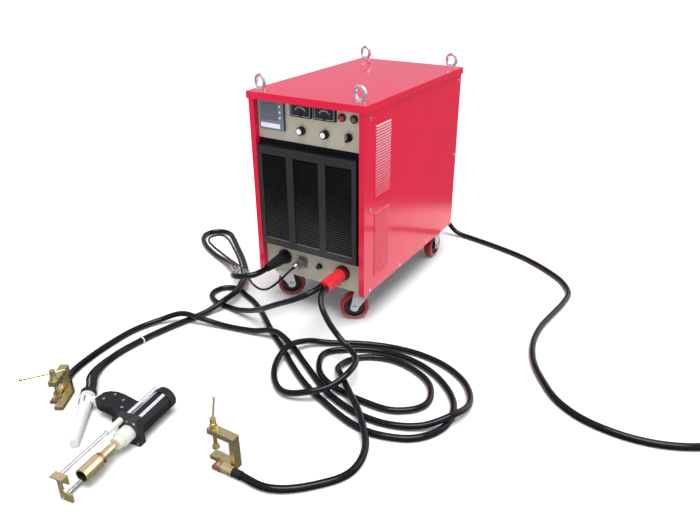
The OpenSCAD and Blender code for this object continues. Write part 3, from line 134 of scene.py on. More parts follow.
def light_studio():
    """A white surround that lights softly, and one broad soft sun. Shiny things mirror a dimmer surround
    with a bright panel at the right rear."""
    world = bpy.data.worlds.new("studio")
    bpy.context.scene.world = world
    world.use_nodes = True
    tree = world.node_tree
    tree.nodes.clear()
    rays = add(tree, "ShaderNodeLightPath").outputs
    seen = add(tree, "ShaderNodeMath", {"operation": "MAXIMUM"})
    tree.links.new(rays["Is Camera Ray"], seen.inputs[0])
    tree.links.new(rays["Is Transmission Ray"], seen.inputs[1])
    ahead = add(tree, "ShaderNodeVectorMath", {"operation": "DOT_PRODUCT"})
    tree.links.new(add(tree, "ShaderNodeTexCoord").outputs["Generated"], ahead.inputs[0])
    ahead.inputs[1].default_value = PANEL_WAY
    panel = level(tree, ahead.outputs["Value"], PANEL_RIM, PANEL_CORE, MIRRORED_LIGHT, PANEL_LIGHT)
    soft = add(tree, "ShaderNodeBackground", Color=(0.97, 0.985, 1.0, 1), Strength=SOFT_LIGHT)
    mirrored = add(tree, "ShaderNodeBackground", Color=(0.98, 0.96, 1.15, 1), Strength=panel)
    white = add(tree, "ShaderNodeBackground", Color=(1, 1, 1, 1), Strength=1.0)
    lit = two_lights(tree, rays["Is Glossy Ray"], soft, mirrored)
    shown = two_lights(tree, seen.outputs[0], lit, white)
    out = add(tree, "ShaderNodeOutputWorld")
    tree.links.new(shown.outputs[0], out.inputs["Surface"])
    lamp = bpy.data.lights.new("broad_sun", "SUN")
    lamp.energy = 2.9
    lamp.angle = math.radians(40)
    sun = bpy.data.objects.new("broad_sun", lamp)
    sun.rotation_euler = SUN_TURN
    link(sun)
    bpy.context.scene.view_settings.view_transform = "Standard"


def lay_floor():
    """A plain pale floor that keeps the set's soft shadow; mirrored in paint, it is darker further out."""
    mesh = bpy.data.meshes.new("floor")
    corners = [(x * FLOOR_HALF, y * FLOOR_HALF, FLOOR_Z) for x, y in ((-1, -1), (1, -1), (1, 1), (-1, 1))]
    mesh.from_pydata(corners, [], [(0, 1, 2, 3)])
    floor = bpy.data.objects.new("floor", mesh)
    link(floor)
    paint, tree, shader, place = blank_finish("pale_floor")
    away = add(tree, "ShaderNodeVectorMath", {"operation": "LENGTH"}, Vector=place).outputs["Value"]
    outside = level(tree, away, BRIGHT_FLOOR, DIM_FLOOR, 0.0, 1.0)
    dim = product(tree, add(tree, "ShaderNodeLightPath").outputs["Is Glossy Ray"], outside)
    pale = add(tree, "ShaderNodeRGB")
    pale.outputs[0].default_value = (0.96, 0.96, 0.96, 1)
    tree.links.new(mix_tint(tree, dim, pale.outputs[0], (0.1, 0.1, 0.1)), shader.inputs["Base Color"])
    shader.inputs["Roughness"].default_value = 0.9
    shader.inputs["Specular IOR Level"].default_value = 0.05
    mesh.materials.append(paint)


# Finishes

NOISE_SPAN = (0.3, 0.7)
WORN_SPAN = (0.62, 0.76)
# Tint of dust near the floor, which on the grille and its louvres is a painted reflection of the floor
DUST_AND_REFLECTION_TINT = (0.55, 0.5, 0.46)
ZINC_ROUGH = (0.28, 0.42)
WAVE_LENGTH = 0.314
GLOSS_COARSER = 12


def blank_finish(name):
    """A new material: its tree, its shader and its own surface coordinates."""
    material = bpy.data.materials.new(name)
    material.use_nodes = True
    tree = material.node_tree
    shader = tree.nodes["Principled BSDF"]
    place = add(tree, "ShaderNodeTexCoord").outputs["Object"]
    return material, tree, shader, place


def tint_ramp(tree, factor, tints, low, high):
    """Spreads tints evenly between two levels of a pattern."""
    ramp = add(tree, "ShaderNodeValToRGB", Fac=factor)
    stops = ramp.color_ramp.elements
    while len(stops) < len(tints):
        stops.new(0.5)
    for k, tint in enumerate(tints):
        stops[k].position = low + (high - low) * k / max(len(tints) - 1, 1)
        stops[k].color = (*tint, 1)
    return ramp.outputs["Color"]


def mix_tint(tree, factor, under, over):
    """A colour over another by a pattern."""
    mixed = add(tree, "ShaderNodeMix", {"data_type": "RGBA"})
    tree.links.new(factor, mixed.inputs["Factor"])
    tree.links.new(under, mixed.inputs[6])
    mixed.inputs[7].default_value = (*over, 1)
    return mixed.outputs[2]


def level(tree, value, low, high, to_low, to_high):
    """A pattern's level moved from one range to another."""
    ranged = add(tree, "ShaderNodeMapRange", Value=value)
    ranged.inputs["From Min"].default_value = low
    ranged.inputs["From Max"].default_value = high
    ranged.inputs["To Min"].default_value = to_low
    ranged.inputs["To Max"].default_value = to_high
    return ranged.outputs["Result"]


def product(tree, first, second):
    """Two levels multiplied."""
    made = add(tree, "ShaderNodeMath", {"operation": "MULTIPLY"})
    tree.links.new(first, made.inputs[0])
    tree.links.new(second, made.inputs[1])
    return made.outputs[0]


def noise(tree, place, scale, detail, **more):
    """The level of a cloudy pattern."""
    return add(tree, "ShaderNodeTexNoise", Vector=place, Scale=scale, Detail=detail, **more).outputs["Fac"]


def surface(tree, shader, colour, gloss, height, strength, depth, metallic):
    """Gives a shader its colour, roughness, bump and metal."""
    tree.links.new(colour, shader.inputs["Base Color"])
    tree.links.new(gloss, shader.inputs["Roughness"])
    bump = add(tree, "ShaderNodeBump", Strength=strength, Distance=depth, Height=height)
    tree.links.new(bump.outputs["Normal"], shader.inputs["Normal"])
    shader.inputs["Metallic"].default_value = metallic


def finish(name, tints, metallic=0.0, rough=(0.35, 0.5), patch=5.0, grain=500.0, depth=0.0002,
           coat=0.0, coat_rough=0.08, shine=0.35, scuff=None, scuff_scale=45.0, scuff_most=0.3,
           dust_and_reflection=None, painted_highlight_band=None):
    """A finish with tinted patches, fine grain in roughness and bump, and optional scuffs, a paler tint low
    down that is dust near the floor on most finishes and a painted reflection of the floor on the grille and
    its
    louvres, and a painted highlight: a paler tint that comes in between two heights."""
    material, tree, shader, place = blank_finish(name)
    broad = noise(tree, place, patch, 4.0, Roughness=0.6)
    fine = noise(tree, place, grain, 3.0)
    colour = tint_ramp(tree, broad, tints, *NOISE_SPAN)
    if scuff:
        rubbed = noise(tree, place, scuff_scale, 6.0, Roughness=0.7)
        colour = mix_tint(tree, level(tree, rubbed, *WORN_SPAN, 0.0, scuff_most), colour, scuff)
    height = add(tree, "ShaderNodeSeparateXYZ", Vector=place).outputs["Z"]
    # Painted highlight: a paler tint between two heights
    if painted_highlight_band:
        low, high, pale = painted_highlight_band
        colour = mix_tint(tree, level(tree, height, low, high, 0.0, 1.0), colour, pale)
    # Paler low down: dust, and on the grille and its louvres a painted reflection of the floor
    if dust_and_reflection:
        low, high, most = dust_and_reflection
        low_tint_level = level(tree, height, low, high, most, 0.0)
        colour = mix_tint(tree, product(tree, low_tint_level, broad), colour, DUST_AND_REFLECTION_TINT)
    blurred = noise(tree, place, grain / GLOSS_COARSER, 5.0)
    surface(tree, shader, colour, level(tree, blurred, *NOISE_SPAN, *rough), fine, 0.35, depth, metallic)
    shader.inputs["Specular IOR Level"].default_value = 0.5 if metallic > 0.5 else shine
    shader.inputs["Coat Weight"].default_value = coat
    shader.inputs["Coat Roughness"].default_value = coat_rough
    return material


def zinc_plating(name, pale, dark, cell=260.0):
    """Plated steel with faint crystals in its tint and gloss."""
    material, tree, shader, place = blank_finish(name)
    crystal = add(tree, "ShaderNodeTexVoronoi", Vector=place, Scale=cell)
    cloud = noise(tree, place, 30.0, 5.0)
    grey = add(tree, "ShaderNodeSeparateColor", Color=crystal.outputs["Color"]).outputs["Red"]
    both = add(tree, "ShaderNodeMath", {"operation": "MULTIPLY_ADD"})
    tree.links.new(grey, both.inputs[0])
    both.inputs[1].default_value = 0.35
    tree.links.new(cloud, both.inputs[2])
    colour = tint_ramp(tree, both.outputs[0], [dark, pale], 0.35, 0.95)
    gloss = level(tree, cloud, *NOISE_SPAN, *ZINC_ROUGH)
    surface(tree, shader, colour, gloss, noise(tree, place, 900.0, 2.0), 0.2, 0.0001, 1.0)
    return material


def banded(name, tints, spacing, direction, rough, metallic):
    """Stacked sheets or wound wire: fine even bands across one direction."""
    material, tree, shader, place = blank_finish(name)
    wave = add(tree, "ShaderNodeTexWave", {"bands_direction": direction}, Vector=place,
               Scale=WAVE_LENGTH / spacing, Distortion=0.4, Detail=2.0)
    bands = wave.outputs["Fac"]
    gloss = level(tree, noise(tree, place, 12.0, 4.0), *NOISE_SPAN, *rough)
    surface(tree, shader, tint_ramp(tree, bands, tints, 0.1, 0.9), gloss, bands, 0.5, 0.0004, metallic)
    return material


red_enamel = finish(
    "red_enamel", [(0.7, 0.011, 0.05), (0.73, 0.012, 0.055), (0.76, 0.014, 0.06)], rough=(0.16, 0.24),
    patch=2.5, grain=700, depth=0.00001, coat=0.3, coat_rough=0.02, shine=0.25, scuff=(0.66, 0.02, 0.05),
    scuff_scale=14, scuff_most=0.2, dust_and_reflection=(0.13, 0.2, 0.06))
# Painted highlight: the louvres' hoods grow paler further up, standing for gloss paint catching the light
# from above
painted_hood_highlight = finish(
    "painted_hood_highlight", [(0.72, 0.02, 0.06), (0.75, 0.03, 0.07)], rough=(0.2, 0.3), patch=9, grain=700,
    depth=0.00001, coat=0.4, coat_rough=0.03, painted_highlight_band=(0.47, 0.74, (0.93, 0.56, 0.6)))
beige_enamel = finish(
    "beige_enamel", [(0.43, 0.4, 0.31), (0.47, 0.44, 0.35), (0.5, 0.47, 0.38)], rough=(0.4, 0.55), patch=6,
    grain=1100, depth=0.00012, scuff=(0.38, 0.35, 0.28), dust_and_reflection=(0.13, 0.22, 0.3))
frame_enamel = finish(
    "frame_enamel", [(0.06, 0.06, 0.065), (0.085, 0.085, 0.09)], rough=(0.4, 0.55),
    scuff=(0.16, 0.15, 0.14))
# Paler towards the bottom: a painted reflection of the floor on the grille's face
grille_enamel = finish(
    "grille_enamel", [(0.026, 0.026, 0.028), (0.034, 0.034, 0.037)], rough=(0.36, 0.5), grain=1000,
    depth=0.00012, shine=0.2, scuff=(0.06, 0.059, 0.058), scuff_most=0.2, dust_and_reflection=(0.22, 0.3, 0.1))
grille_black = finish(
    "grille_black", [(0.006, 0.006, 0.007), (0.011, 0.011, 0.012)], rough=(0.4, 0.55), grain=1000,
    depth=0.0001, shine=0.12)
# Painted highlight: paler grey on the windows' sills, where their lower edges catch the light
grille_sill_highlight = finish("grille_sill_highlight", [(0.16, 0.16, 0.165), (0.22, 0.22, 0.225)], grain=1000, depth=0.0001)
# Painted shade: a near-black mat behind the slats stands for the dark inside of the cabinet
filter_mat = finish(
    "filter_mat", [(0.002, 0.002, 0.002), (0.004, 0.004, 0.004)], rough=(0.9, 0.98), patch=30, grain=1800,
    depth=0.0006, shine=0.02)
# Paler towards the bottom: a painted reflection of the floor on the slats
louvre_enamel = finish(
    "louvre_enamel", [(0.006, 0.006, 0.007), (0.011, 0.011, 0.011)], rough=(0.4, 0.55), grain=900,
    depth=0.0001, shine=0.15, dust_and_reflection=(0.24, 0.46, 0.12))
black_moulding = finish(
    "black_moulding", [(0.008, 0.008, 0.009), (0.015, 0.015, 0.016)], patch=18, grain=1500,
    scuff=(0.05, 0.05, 0.052), scuff_scale=90)
soft_black = finish(
    "soft_black", [(0.006, 0.006, 0.008), (0.012, 0.012, 0.014)], rough=(0.42, 0.58), patch=25, grain=900,
    depth=0.0003, scuff=(0.04, 0.04, 0.042), scuff_scale=70)
navy_moulding = finish(
    "navy_moulding", [(0.02, 0.045, 0.13), (0.03, 0.06, 0.17)], patch=15, grain=1400, depth=0.00015)
slate_face = finish(
    "slate_face", [(0.13, 0.17, 0.22), (0.17, 0.21, 0.26)], rough=(0.25, 0.38), patch=14, grain=1600,
    depth=0.0001, coat=0.3)
smoke_window = finish(
    "smoke_window", [(0.1, 0.12, 0.145), (0.13, 0.15, 0.175)], rough=(0.08, 0.14), patch=10, grain=700,
    depth=0.00002, coat=0.8, coat_rough=0.04)
blank_strip = finish(
    "blank_strip", [(0.74, 0.75, 0.78), (0.82, 0.83, 0.85)], rough=(0.45, 0.6), patch=30, grain=1200,
    depth=0.0001)
dial_black = finish(
    "dial_black", [(0.014, 0.015, 0.018), (0.024, 0.025, 0.03)], rough=(0.1, 0.18), patch=20, grain=900,
    depth=0.00002, coat=1.0, coat_rough=0.03)
dial_mark = finish(
    "dial_mark", [(0.78, 0.8, 0.84), (0.86, 0.88, 0.9)], rough=(0.4, 0.5), patch=40, grain=900,
    depth=0.00005)
dial_rim = finish(
    "dial_rim", [(0.3, 0.32, 0.36), (0.4, 0.42, 0.46)], rough=(0.25, 0.4), patch=40, grain=900,
    depth=0.00005)
print_black = finish(
    "print_black", [(0.02, 0.02, 0.022), (0.035, 0.035, 0.036)], rough=(0.5, 0.6), patch=60, grain=900,
    depth=0.00005)
white_cap = finish(
    "white_cap", [(0.76, 0.77, 0.78), (0.86, 0.86, 0.86)], rough=(0.2, 0.32), patch=60, grain=700,
    depth=0.00008, coat=0.4)
red_lens = finish(
    "red_lens", [(0.5, 0.008, 0.01), (0.68, 0.02, 0.02)], rough=(0.12, 0.2), patch=90, depth=0.00015,
    coat=1.0, coat_rough=0.03)
olive_lens = finish(
    "olive_lens", [(0.1, 0.085, 0.012), (0.17, 0.14, 0.02)], rough=(0.12, 0.2), patch=90, depth=0.00015,
    coat=1.0, coat_rough=0.03)
plug_red = finish(
    "plug_red", [(0.72, 0.024, 0.035), (0.84, 0.035, 0.045)], rough=(0.3, 0.45), patch=20, grain=900,
    depth=0.00025, coat=0.2, scuff=(0.55, 0.03, 0.03), scuff_scale=80)
plug_root = finish(
    "plug_root", [(0.16, 0.006, 0.008), (0.24, 0.01, 0.012)], rough=(0.4, 0.55), patch=30, grain=900)
boot_white = finish(
    "boot_white", [(0.6, 0.62, 0.63), (0.7, 0.72, 0.72), (0.76, 0.77, 0.77)], rough=(0.4, 0.58), patch=22,
    grain=700, depth=0.0003, scuff=(0.5, 0.47, 0.42), scuff_scale=60)
cream_sleeve = finish(
    "cream_sleeve", [(0.64, 0.66, 0.6), (0.74, 0.76, 0.7)], patch=30, grain=900, depth=0.00015,
    scuff=(0.45, 0.38, 0.28), scuff_scale=70)
cable_rubber = finish(
    "cable_rubber", [(0.003, 0.004, 0.005), (0.005, 0.006, 0.008), (0.008, 0.009, 0.012)],
    rough=(0.3, 0.45), patch=14, grain=650, depth=0.00012, coat=0.5, coat_rough=0.06, shine=0.04,
    scuff=(0.03, 0.032, 0.036), scuff_scale=55)
wheel_red = finish(
    "wheel_red", [(0.3, 0.012, 0.018), (0.4, 0.02, 0.026)], rough=(0.3, 0.45), patch=20, grain=600,
    depth=0.0003, scuff=(0.22, 0.05, 0.05), scuff_scale=40, dust_and_reflection=(0.0, 0.03, 0.5))
wheel_hub = finish(
    "wheel_hub", [(0.008, 0.008, 0.009), (0.016, 0.016, 0.017)], rough=(0.4, 0.55), patch=25, grain=900,
    scuff=(0.1, 0.1, 0.1))
bright_chrome = finish(
    "bright_chrome", [(0.78, 0.78, 0.79), (0.9, 0.9, 0.91)], metallic=0.8, rough=(0.08, 0.2), patch=40,
    grain=800, depth=0.00005, scuff=(0.5, 0.49, 0.48), scuff_scale=90)
dull_nickel = finish(
    "dull_nickel", [(0.3, 0.3, 0.32), (0.42, 0.42, 0.44)], metallic=1.0, rough=(0.3, 0.45), patch=50,
    grain=900, depth=0.00008, scuff=(0.5, 0.5, 0.5), scuff_scale=90)
nickel_screw = finish(
    "nickel_screw", [(0.62, 0.61, 0.59), (0.72, 0.72, 0.7)], metallic=1.0, rough=(0.2, 0.34), patch=70,
    grain=900, depth=0.00008)
brass_gold = finish(
    "brass_gold", [(0.92, 0.66, 0.3), (0.98, 0.76, 0.42), (1.0, 0.84, 0.52)], metallic=0.85,
    rough=(0.06, 0.14), patch=35, grain=900, depth=0.00003)
yellow_plate = finish(
    "yellow_plate", [(0.66, 0.55, 0.23), (0.8, 0.69, 0.33), (0.78, 0.62, 0.38)], metallic=0.95,
    rough=(0.2, 0.32), patch=28, grain=700, depth=0.00001, scuff=(0.55, 0.42, 0.18))
raw_copper = finish(
    "raw_copper", [(0.5, 0.2, 0.1), (0.66, 0.31, 0.18), (0.4, 0.15, 0.09)], metallic=1.0,
    rough=(0.25, 0.42), patch=45, grain=800, depth=0.0001)
dark_bore = finish(
    "dark_bore", [(0.035, 0.022, 0.012), (0.06, 0.04, 0.02)], metallic=0.6, rough=(0.5, 0.65), patch=50,
    grain=700)
block_grey = finish(
    "block_grey", [(0.035, 0.036, 0.04), (0.06, 0.061, 0.065)], metallic=0.4, patch=30, grain=1000,
    depth=0.00015, scuff=(0.25, 0.25, 0.25), scuff_scale=60)
silver_rail = finish(
    "silver_rail", [(0.8, 0.81, 0.82), (0.9, 0.91, 0.92)], metallic=0.6, rough=(0.2, 0.34), patch=30,
    depth=0.00008)
fork_zinc = zinc_plating("fork_zinc", (0.6, 0.62, 0.62), (0.36, 0.38, 0.39))
screw_zinc = zinc_plating("screw_zinc", (0.92, 0.9, 0.89), (0.76, 0.75, 0.74), cell=700)
heat_sink = finish(
    "heat_sink", [(0.55, 0.56, 0.58), (0.66, 0.67, 0.69)], metallic=1.0, rough=(0.3, 0.45), grain=700)
core_sheets = banded("core_sheets", [(0.05, 0.05, 0.055), (0.16, 0.16, 0.17)], 0.004, "Y", (0.4, 0.55), 0.7)
wound_copper = banded(
    "wound_copper", [(0.16, 0.05, 0.02), (0.42, 0.16, 0.06)], 0.006, "Z", (0.25, 0.4), 0.6)
board_green = finish(
    "board_green", [(0.015, 0.09, 0.035), (0.03, 0.14, 0.055)], rough=(0.25, 0.4), patch=40)


# Shaping helpers

MERGE_WITHIN = 0.000002
FLAT_ANGLE = math.radians(0.5)
SMOOTH_ANGLE = math.radians(35)
EDGE_ANGLE = math.radians(40)
ON_AXIS = 1e-7
CORNER_TURNS = range(0, 91, 15)


def put(name, mesh, finishes, body="welder", stands_for=()):
    """A finished mesh as a piece that rides on a body."""
    mesh.name = name
    if not mesh.materials:
        for one in finishes:
            mesh.materials.append(one)
    piece = bpy.data.objects.new(name, mesh)
    link(piece)
    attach(piece, body)
    if stands_for:
        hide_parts(*stands_for)
    return piece


def as_mesh(shape, name):
    """A plain mesh from a shape that is then let go."""
    mesh = bpy.data.meshes.new(name)
    shape.to_mesh(mesh)
    shape.free()
    return mesh


def settled(mesh, modifiers):
    """The mesh with its modifiers worked in, as a plain mesh."""
    shaped = bpy.data.objects.new("shaping", mesh)
    link(shaped)
    for kind, values in modifiers:
        modifier = shaped.modifiers.new(kind.lower(), kind)
        for key, value in values.items():
            if kind == "NODES" and key != "node_group":
                modifier[key] = value
            else:
                setattr(modifier, key, value)
    graph = bpy.context.evaluated_depsgraph_get()
    result = bpy.data.meshes.new_from_object(shaped.evaluated_get(graph))
    bpy.data.objects.remove(shaped)
    return result


def soften(mesh):
    """Smooth shading that keeps real edges sharp."""
    mesh.polygons.foreach_set("use_smooth", [True] * len(mesh.polygons))
    mesh.set_sharp_from_angle(angle=SMOOTH_ANGLE)
    return mesh


def rounding(width, segments, **more):
    """A modifier that rounds a mesh's edges."""
    values = {"width": width, "segments": segments, "limit_method": "ANGLE", "angle_limit": EDGE_ANGLE}
    return "BEVEL", {**values, **more}


def dressed(node, finishes, pick=None, edge=0.0006, rings=2):
    """A CAD node with rounded edges and its finishes; pick gives a face's finish from its centre and
    direction."""
    source = nodes[node]
    shape = bmesh.new()
    shape.from_mesh(source.data)
    bmesh.ops.remove_doubles(shape, verts=shape.verts, dist=MERGE_WITHIN)
    bmesh.ops.join_triangles(
        shape, faces=shape.faces, angle_face_threshold=FLAT_ANGLE, angle_shape_threshold=math.pi)
    for face in shape.faces:
        face.material_index = pick(face.calc_center_median(), face.normal) if pick else 0
    mesh = as_mesh(shape, node)
    for one in finishes:
        mesh.materials.append(one)
    soften(mesh)
    if edge:
        rounded = rounding(edge, rings, use_clamp_overlap=True, harden_normals=True)
        mesh = settled(mesh, [rounded, ("WEIGHTED_NORMAL", {"keep_sharp": True, "weight": 100})])
    return put(node + "_skin", mesh, finishes, source["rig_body"], [node])


def local(place):
    """Turns a point of the frame into a piece's own place."""
    back = place.inverted()
    return lambda point: back @ point


def lathe(profile, sides):
    """A turned shape about Z from (radius, height) pairs, closed at both ends."""
    shape = bmesh.new()
    around = [2 * math.pi * k / sides for k in range(sides)]
    rows = []
    for radius, height in profile:
        if radius < ON_AXIS:
            rows.append([shape.verts.new((0, 0, height))])
            continue
        rows.append([shape.verts.new((radius * math.cos(a), radius * math.sin(a), height)) for a in around])
    for low, high in zip(rows, rows[1:]):
        for k in range(sides):
            after = k + 1
            ring = [low[k % len(low)], low[after % len(low)], high[after % len(high)], high[k % len(high)]]
            corners = list(dict.fromkeys(ring))
            if len(corners) > 2:
                shape.faces.new(corners)
    for row, flip in ((rows[0], True), (rows[-1], False)):
        if len(row) > 2:
            shape.faces.new(row[::-1] if flip else row)
    bmesh.ops.recalc_face_normals(shape, faces=shape.faces)
    return as_mesh(shape, "turned")


def rounded_plate(width, height, corner, thickness, edge=0.0003):
    """A plate with round corners, centred, standing on z = 0."""
    shape = bmesh.new()
    outline = []
    for cx, cy, start in ((1, 1, 0), (-1, 1, 90), (-1, -1, 180), (1, -1, 270)):
        for turn in CORNER_TURNS:
            a = math.radians(start + turn)
            x = cx * (width / 2 - corner) + corner * math.cos(a)
            y = cy * (height / 2 - corner) + corner * math.sin(a)
            outline.append(shape.verts.new((x, y, 0)))
    face = shape.faces.new(outline)
    lifted = bmesh.ops.extrude_face_region(shape, geom=[face])["geom"]
    upper = [v for v in lifted if isinstance(v, bmesh.types.BMVert)]
    bmesh.ops.translate(shape, vec=(0, 0, thickness), verts=upper)
    bmesh.ops.recalc_face_normals(shape, faces=shape.faces)
    return settled(as_mesh(shape, "plate"), [rounding(edge, 2)])


def moved(mesh, place):
    """The mesh carried to its place in the frame."""
    mesh.transform(place)
    return mesh


def on_front(x, z, out):
    """A place on the front panels whose Z points out of them."""
    return Matrix.Translation((x, FRONT_Y - out, z)) @ OUT_OF_FRONT


def front_plate(size, x, z, out):
    """A rounded plate of a size on the front panels."""
    return moved(rounded_plate(*size), on_front(x, z, out))


def joined(meshes):
    """Several meshes as one."""
    shape = bmesh.new()
    for mesh in meshes:
        shape.from_mesh(mesh)
    return as_mesh(shape, "joined")


def turned_set(profile, sides, places):
    """A turned shape at each of some places, as one mesh."""
    return soften(joined([moved(lathe(profile, sides), place) for place in places]))


# Repeated details: short bars spread along an arc, and crossed slots on screw heads

def detail_tree(name, inputs):
    """A new geometry tree with one geometry output, and what it is given."""
    tree = bpy.data.node_groups.new(name, "GeometryNodeTree")
    for label, kind in inputs:
        tree.interface.new_socket(label, in_out="INPUT", socket_type="NodeSocket" + kind)
    tree.interface.new_socket("Geometry", in_out="OUTPUT", socket_type="NodeSocketGeometry")
    return tree, add(tree, "NodeGroupInput").outputs


def give_out(tree, spread, paint):
    """Ends a tree with its copies made real and painted."""
    real = add(tree, "GeometryNodeRealizeInstances", Geometry=spread.outputs["Instances"])
    painted = add(tree, "GeometryNodeSetMaterial", Geometry=real.outputs["Geometry"], Material=paint)
    out = add(tree, "NodeGroupOutput")
    tree.links.new(painted.outputs["Geometry"], out.inputs["Geometry"])


def arc_bars_tree():
    """Geometry nodes: bars set out along an arc about Z, each pointing away from the centre."""
    tree, given = detail_tree("arc_bars", (
        ("Count", "Int"), ("Radius", "Float"), ("Start", "Float"), ("Sweep", "Float"), ("Bar", "Vector"),
        ("Finish", "Material")))
    arc = add(
        tree, "GeometryNodeCurveArc", Resolution=given["Count"], Radius=given["Radius"],
        Start_Angle=given["Start"], Sweep_Angle=given["Sweep"])
    bar = add(tree, "GeometryNodeMeshCube", Size=given["Bar"])
    point = add(tree, "GeometryNodeInputPosition").outputs[0]
    outward = add(tree, "FunctionNodeAlignRotationToVector", {"axis": "X"}, Vector=point)
    spread = add(
        tree, "GeometryNodeInstanceOnPoints", Points=arc.outputs["Curve"], Instance=bar.outputs["Mesh"],
        Rotation=outward.outputs["Rotation"])
    give_out(tree, spread, given["Finish"])
    return tree


def screw_cross_tree():
    """Geometry nodes: a crossed slot on each point of a mesh, lying across X."""
    tree, given = detail_tree("screw_crosses", (
        ("Geometry", "Geometry"), ("Length", "Float"), ("Width", "Float"), ("Depth", "Float"),
        ("Finish", "Material")))
    upright = add(tree, "ShaderNodeCombineXYZ", X=given["Depth"], Y=given["Width"], Z=given["Length"])
    across = add(tree, "ShaderNodeCombineXYZ", X=given["Depth"], Y=given["Length"], Z=given["Width"])
    cross = add(tree, "GeometryNodeJoinGeometry")
    for size in (upright, across):
        bar = add(tree, "GeometryNodeMeshCube", Size=size.outputs[0])
        tree.links.new(bar.outputs["Mesh"], cross.inputs["Geometry"])
    spread = add(
        tree, "GeometryNodeInstanceOnPoints", Points=given["Geometry"], Instance=cross.outputs["Geometry"])
    give_out(tree, spread, given["Finish"])
    return tree


ARC_BARS = arc_bars_tree()
SCREW_CROSSES = screw_cross_tree()


def tree_values(tree, **values):
    """A modifier's inputs by the identifiers of the tree's sockets."""
    known = {s.name: s.identifier for s in tree.interface.items_tree if s.in_out == "INPUT"}
    found = {"node_group": tree}
    for key, value in values.items():
        found[known[key]] = value
    return found


def arc_bars(count, radius, bar, paint, start=0.0, sweep=None):
    """Bars along an arc, or all round where no sweep is given, as a plain mesh."""
    if sweep is None:
        sweep = 2 * math.pi * (count - 1) / count
    values = tree_values(
        ARC_BARS, Count=count, Radius=radius, Start=start, Sweep=sweep, Bar=bar, Finish=paint)
    return settled(bpy.data.meshes.new("bars"), [("NODES", values)])


# Cables

CABLE_STEPS = 10

# Diameters and routes in millimetres

CABLE_ROUTES = {
    "gun_cable": (20, [
        (-114, -453, 192), (-114, -478, 192), (-124, -510, 190), (-150, -530, 186), (-183, -531, 178),
        (-208, -517, 167), (-258, -462, 133), (-330, -365, 88), (-415, -285, 48), (-515, -222, 18),
        (-620, -178, 10), (-708, -130, 10), (-763, -81, 10), (-779, -50, 10), (-775, -15, 10),
        (-752, 9, 10), (-722, 19, 10), (-688, 12, 10), (-648, -16, 10), (-580, -72, 10), (-470, -165, 10),
        (-380, -255, 14), (-325, -330, 30), (-296, -400, 33), (-288, -480, 33), (-310, -555, 16),
        (-340, -640, 10), (-365, -730, 10), (-382, -830, 10), (-385, -910, 10), (-368, -980, 14),
        (-338, -1025, 20), (-307, -1052, 23), (-281.5, -1082.5, 23)]),
    "control_cable": (8, [
        (-42, -399, 188), (-42, -418, 187), (-56, -446, 166), (-102, -462, 122), (-165, -440, 92),
        (-215, -415, 86), (-270, -375, 84), (-340, -305, 58), (-410, -250, 30), (-490, -202, 12),
        (-600, -150, 4), (-684, -112, 4), (-740, -74, 4), (-752, -52, 4), (-749, -29, 4), (-734, -12, 4),
        (-712, -7, 4), (-692, -15, 4), (-590, -86, 4), (-480, -178, 4), (-395, -265, 6), (-342, -340, 24),
        (-314, -402, 27), (-308, -478, 27), (-328, -550, 10), (-357, -635, 4), (-382, -725, 4),
        (-399, -830, 4), (-402, -910, 4), (-386, -988, 8), (-354, -1036, 16), (-319, -1064, 22),
        (-294.5, -1093.5, 23)]),
    "right_earth_cable": (19, [
        (113, -463, 192), (113, -490, 191), (100, -520, 184), (64, -542, 166), (4, -545, 134),
        (-170, -505, 34), (-255, -490, 10), (-357, -474, 10), (-383, -454, 10), (-393, -422, 10),
        (-383, -390, 10), (-352, -369, 10), (-260, -394, 10), (0, -568, 10), (280, -748, 10),
        (520, -800, 10), (605, -760, 10), (650, -680, 10), (638, -590, 10), (570, -508, 10),
        (420, -448, 10), (250, -492, 10), (182, -560, 10), (206, -626, 10), (410, -702, 10),
        (510, -688, 10), (566, -625, 10), (545, -545, 10), (460, -490, 10), (360, -484, 10),
        (278, -535, 10), (262, -602, 14), (305, -655, 34), (372, -716, 34), (455, -796, 34),
        (510, -872, 14), (518, -950, 10), (465, -1035, 10), (364, -1105, 12), (294, -1105, 12)]),
    "left_earth_cable": (19, [
        (133, -463, 186), (134, -492, 184), (148, -520, 168), (182, -541, 132), (235, -548, 80),
        (285, -564, 60), (326, -604, 62), (338, -660, 63), (314, -724, 44), (262, -772, 32),
        (195, -790, 18), (130, -752, 14), (90, -685, 26), (84, -605, 36), (106, -548, 26), (170, -495, 10),
        (250, -452, 10), (350, -418, 10), (455, -408, 10), (555, -430, 10), (635, -485, 10),
        (674, -565, 16), (660, -655, 34), (600, -715, 16), (520, -750, 10), (430, -757, 10),
        (330, -733, 10), (150, -628, 10), (80, -585, 14), (-5, -563, 33), (-95, -575, 15), (-200, -595, 12),
        (-290, -618, 26), (-350, -634, 34), (-415, -688, 15), (-448, -770, 10), (-452, -860, 10),
        (-445, -950, 10), (-422, -1042, 12), (-401.5, -1077.5, 12)]),
    "mains_cable": (20, [
        (130, 405, 190), (130, 440, 190), (130, 482, 179), (130, 514, 148), (130, 525, 105), (143, 525, 58),
        (178, 525, 23), (225, 524, 10), (290, 510, 10), (390, 484, 10), (510, 443, 10), (625, 378, 10),
        (708, 308, 10), (750, 235, 10), (752, 150, 10), (740, 50, 10), (729, -50, 10), (737, -165, 10),
        (768, -262, 10), (820, -345, 10), (880, -414, 10), (950, -455, 10), (1030, -472, 10),
        (1110, -470, 10), (1190, -448, 10), (1265, -405, 10), (1325, -335, 12), (1360, -250, 26),
        (1370, -160, 34), (1370, -120, 34)]),
}


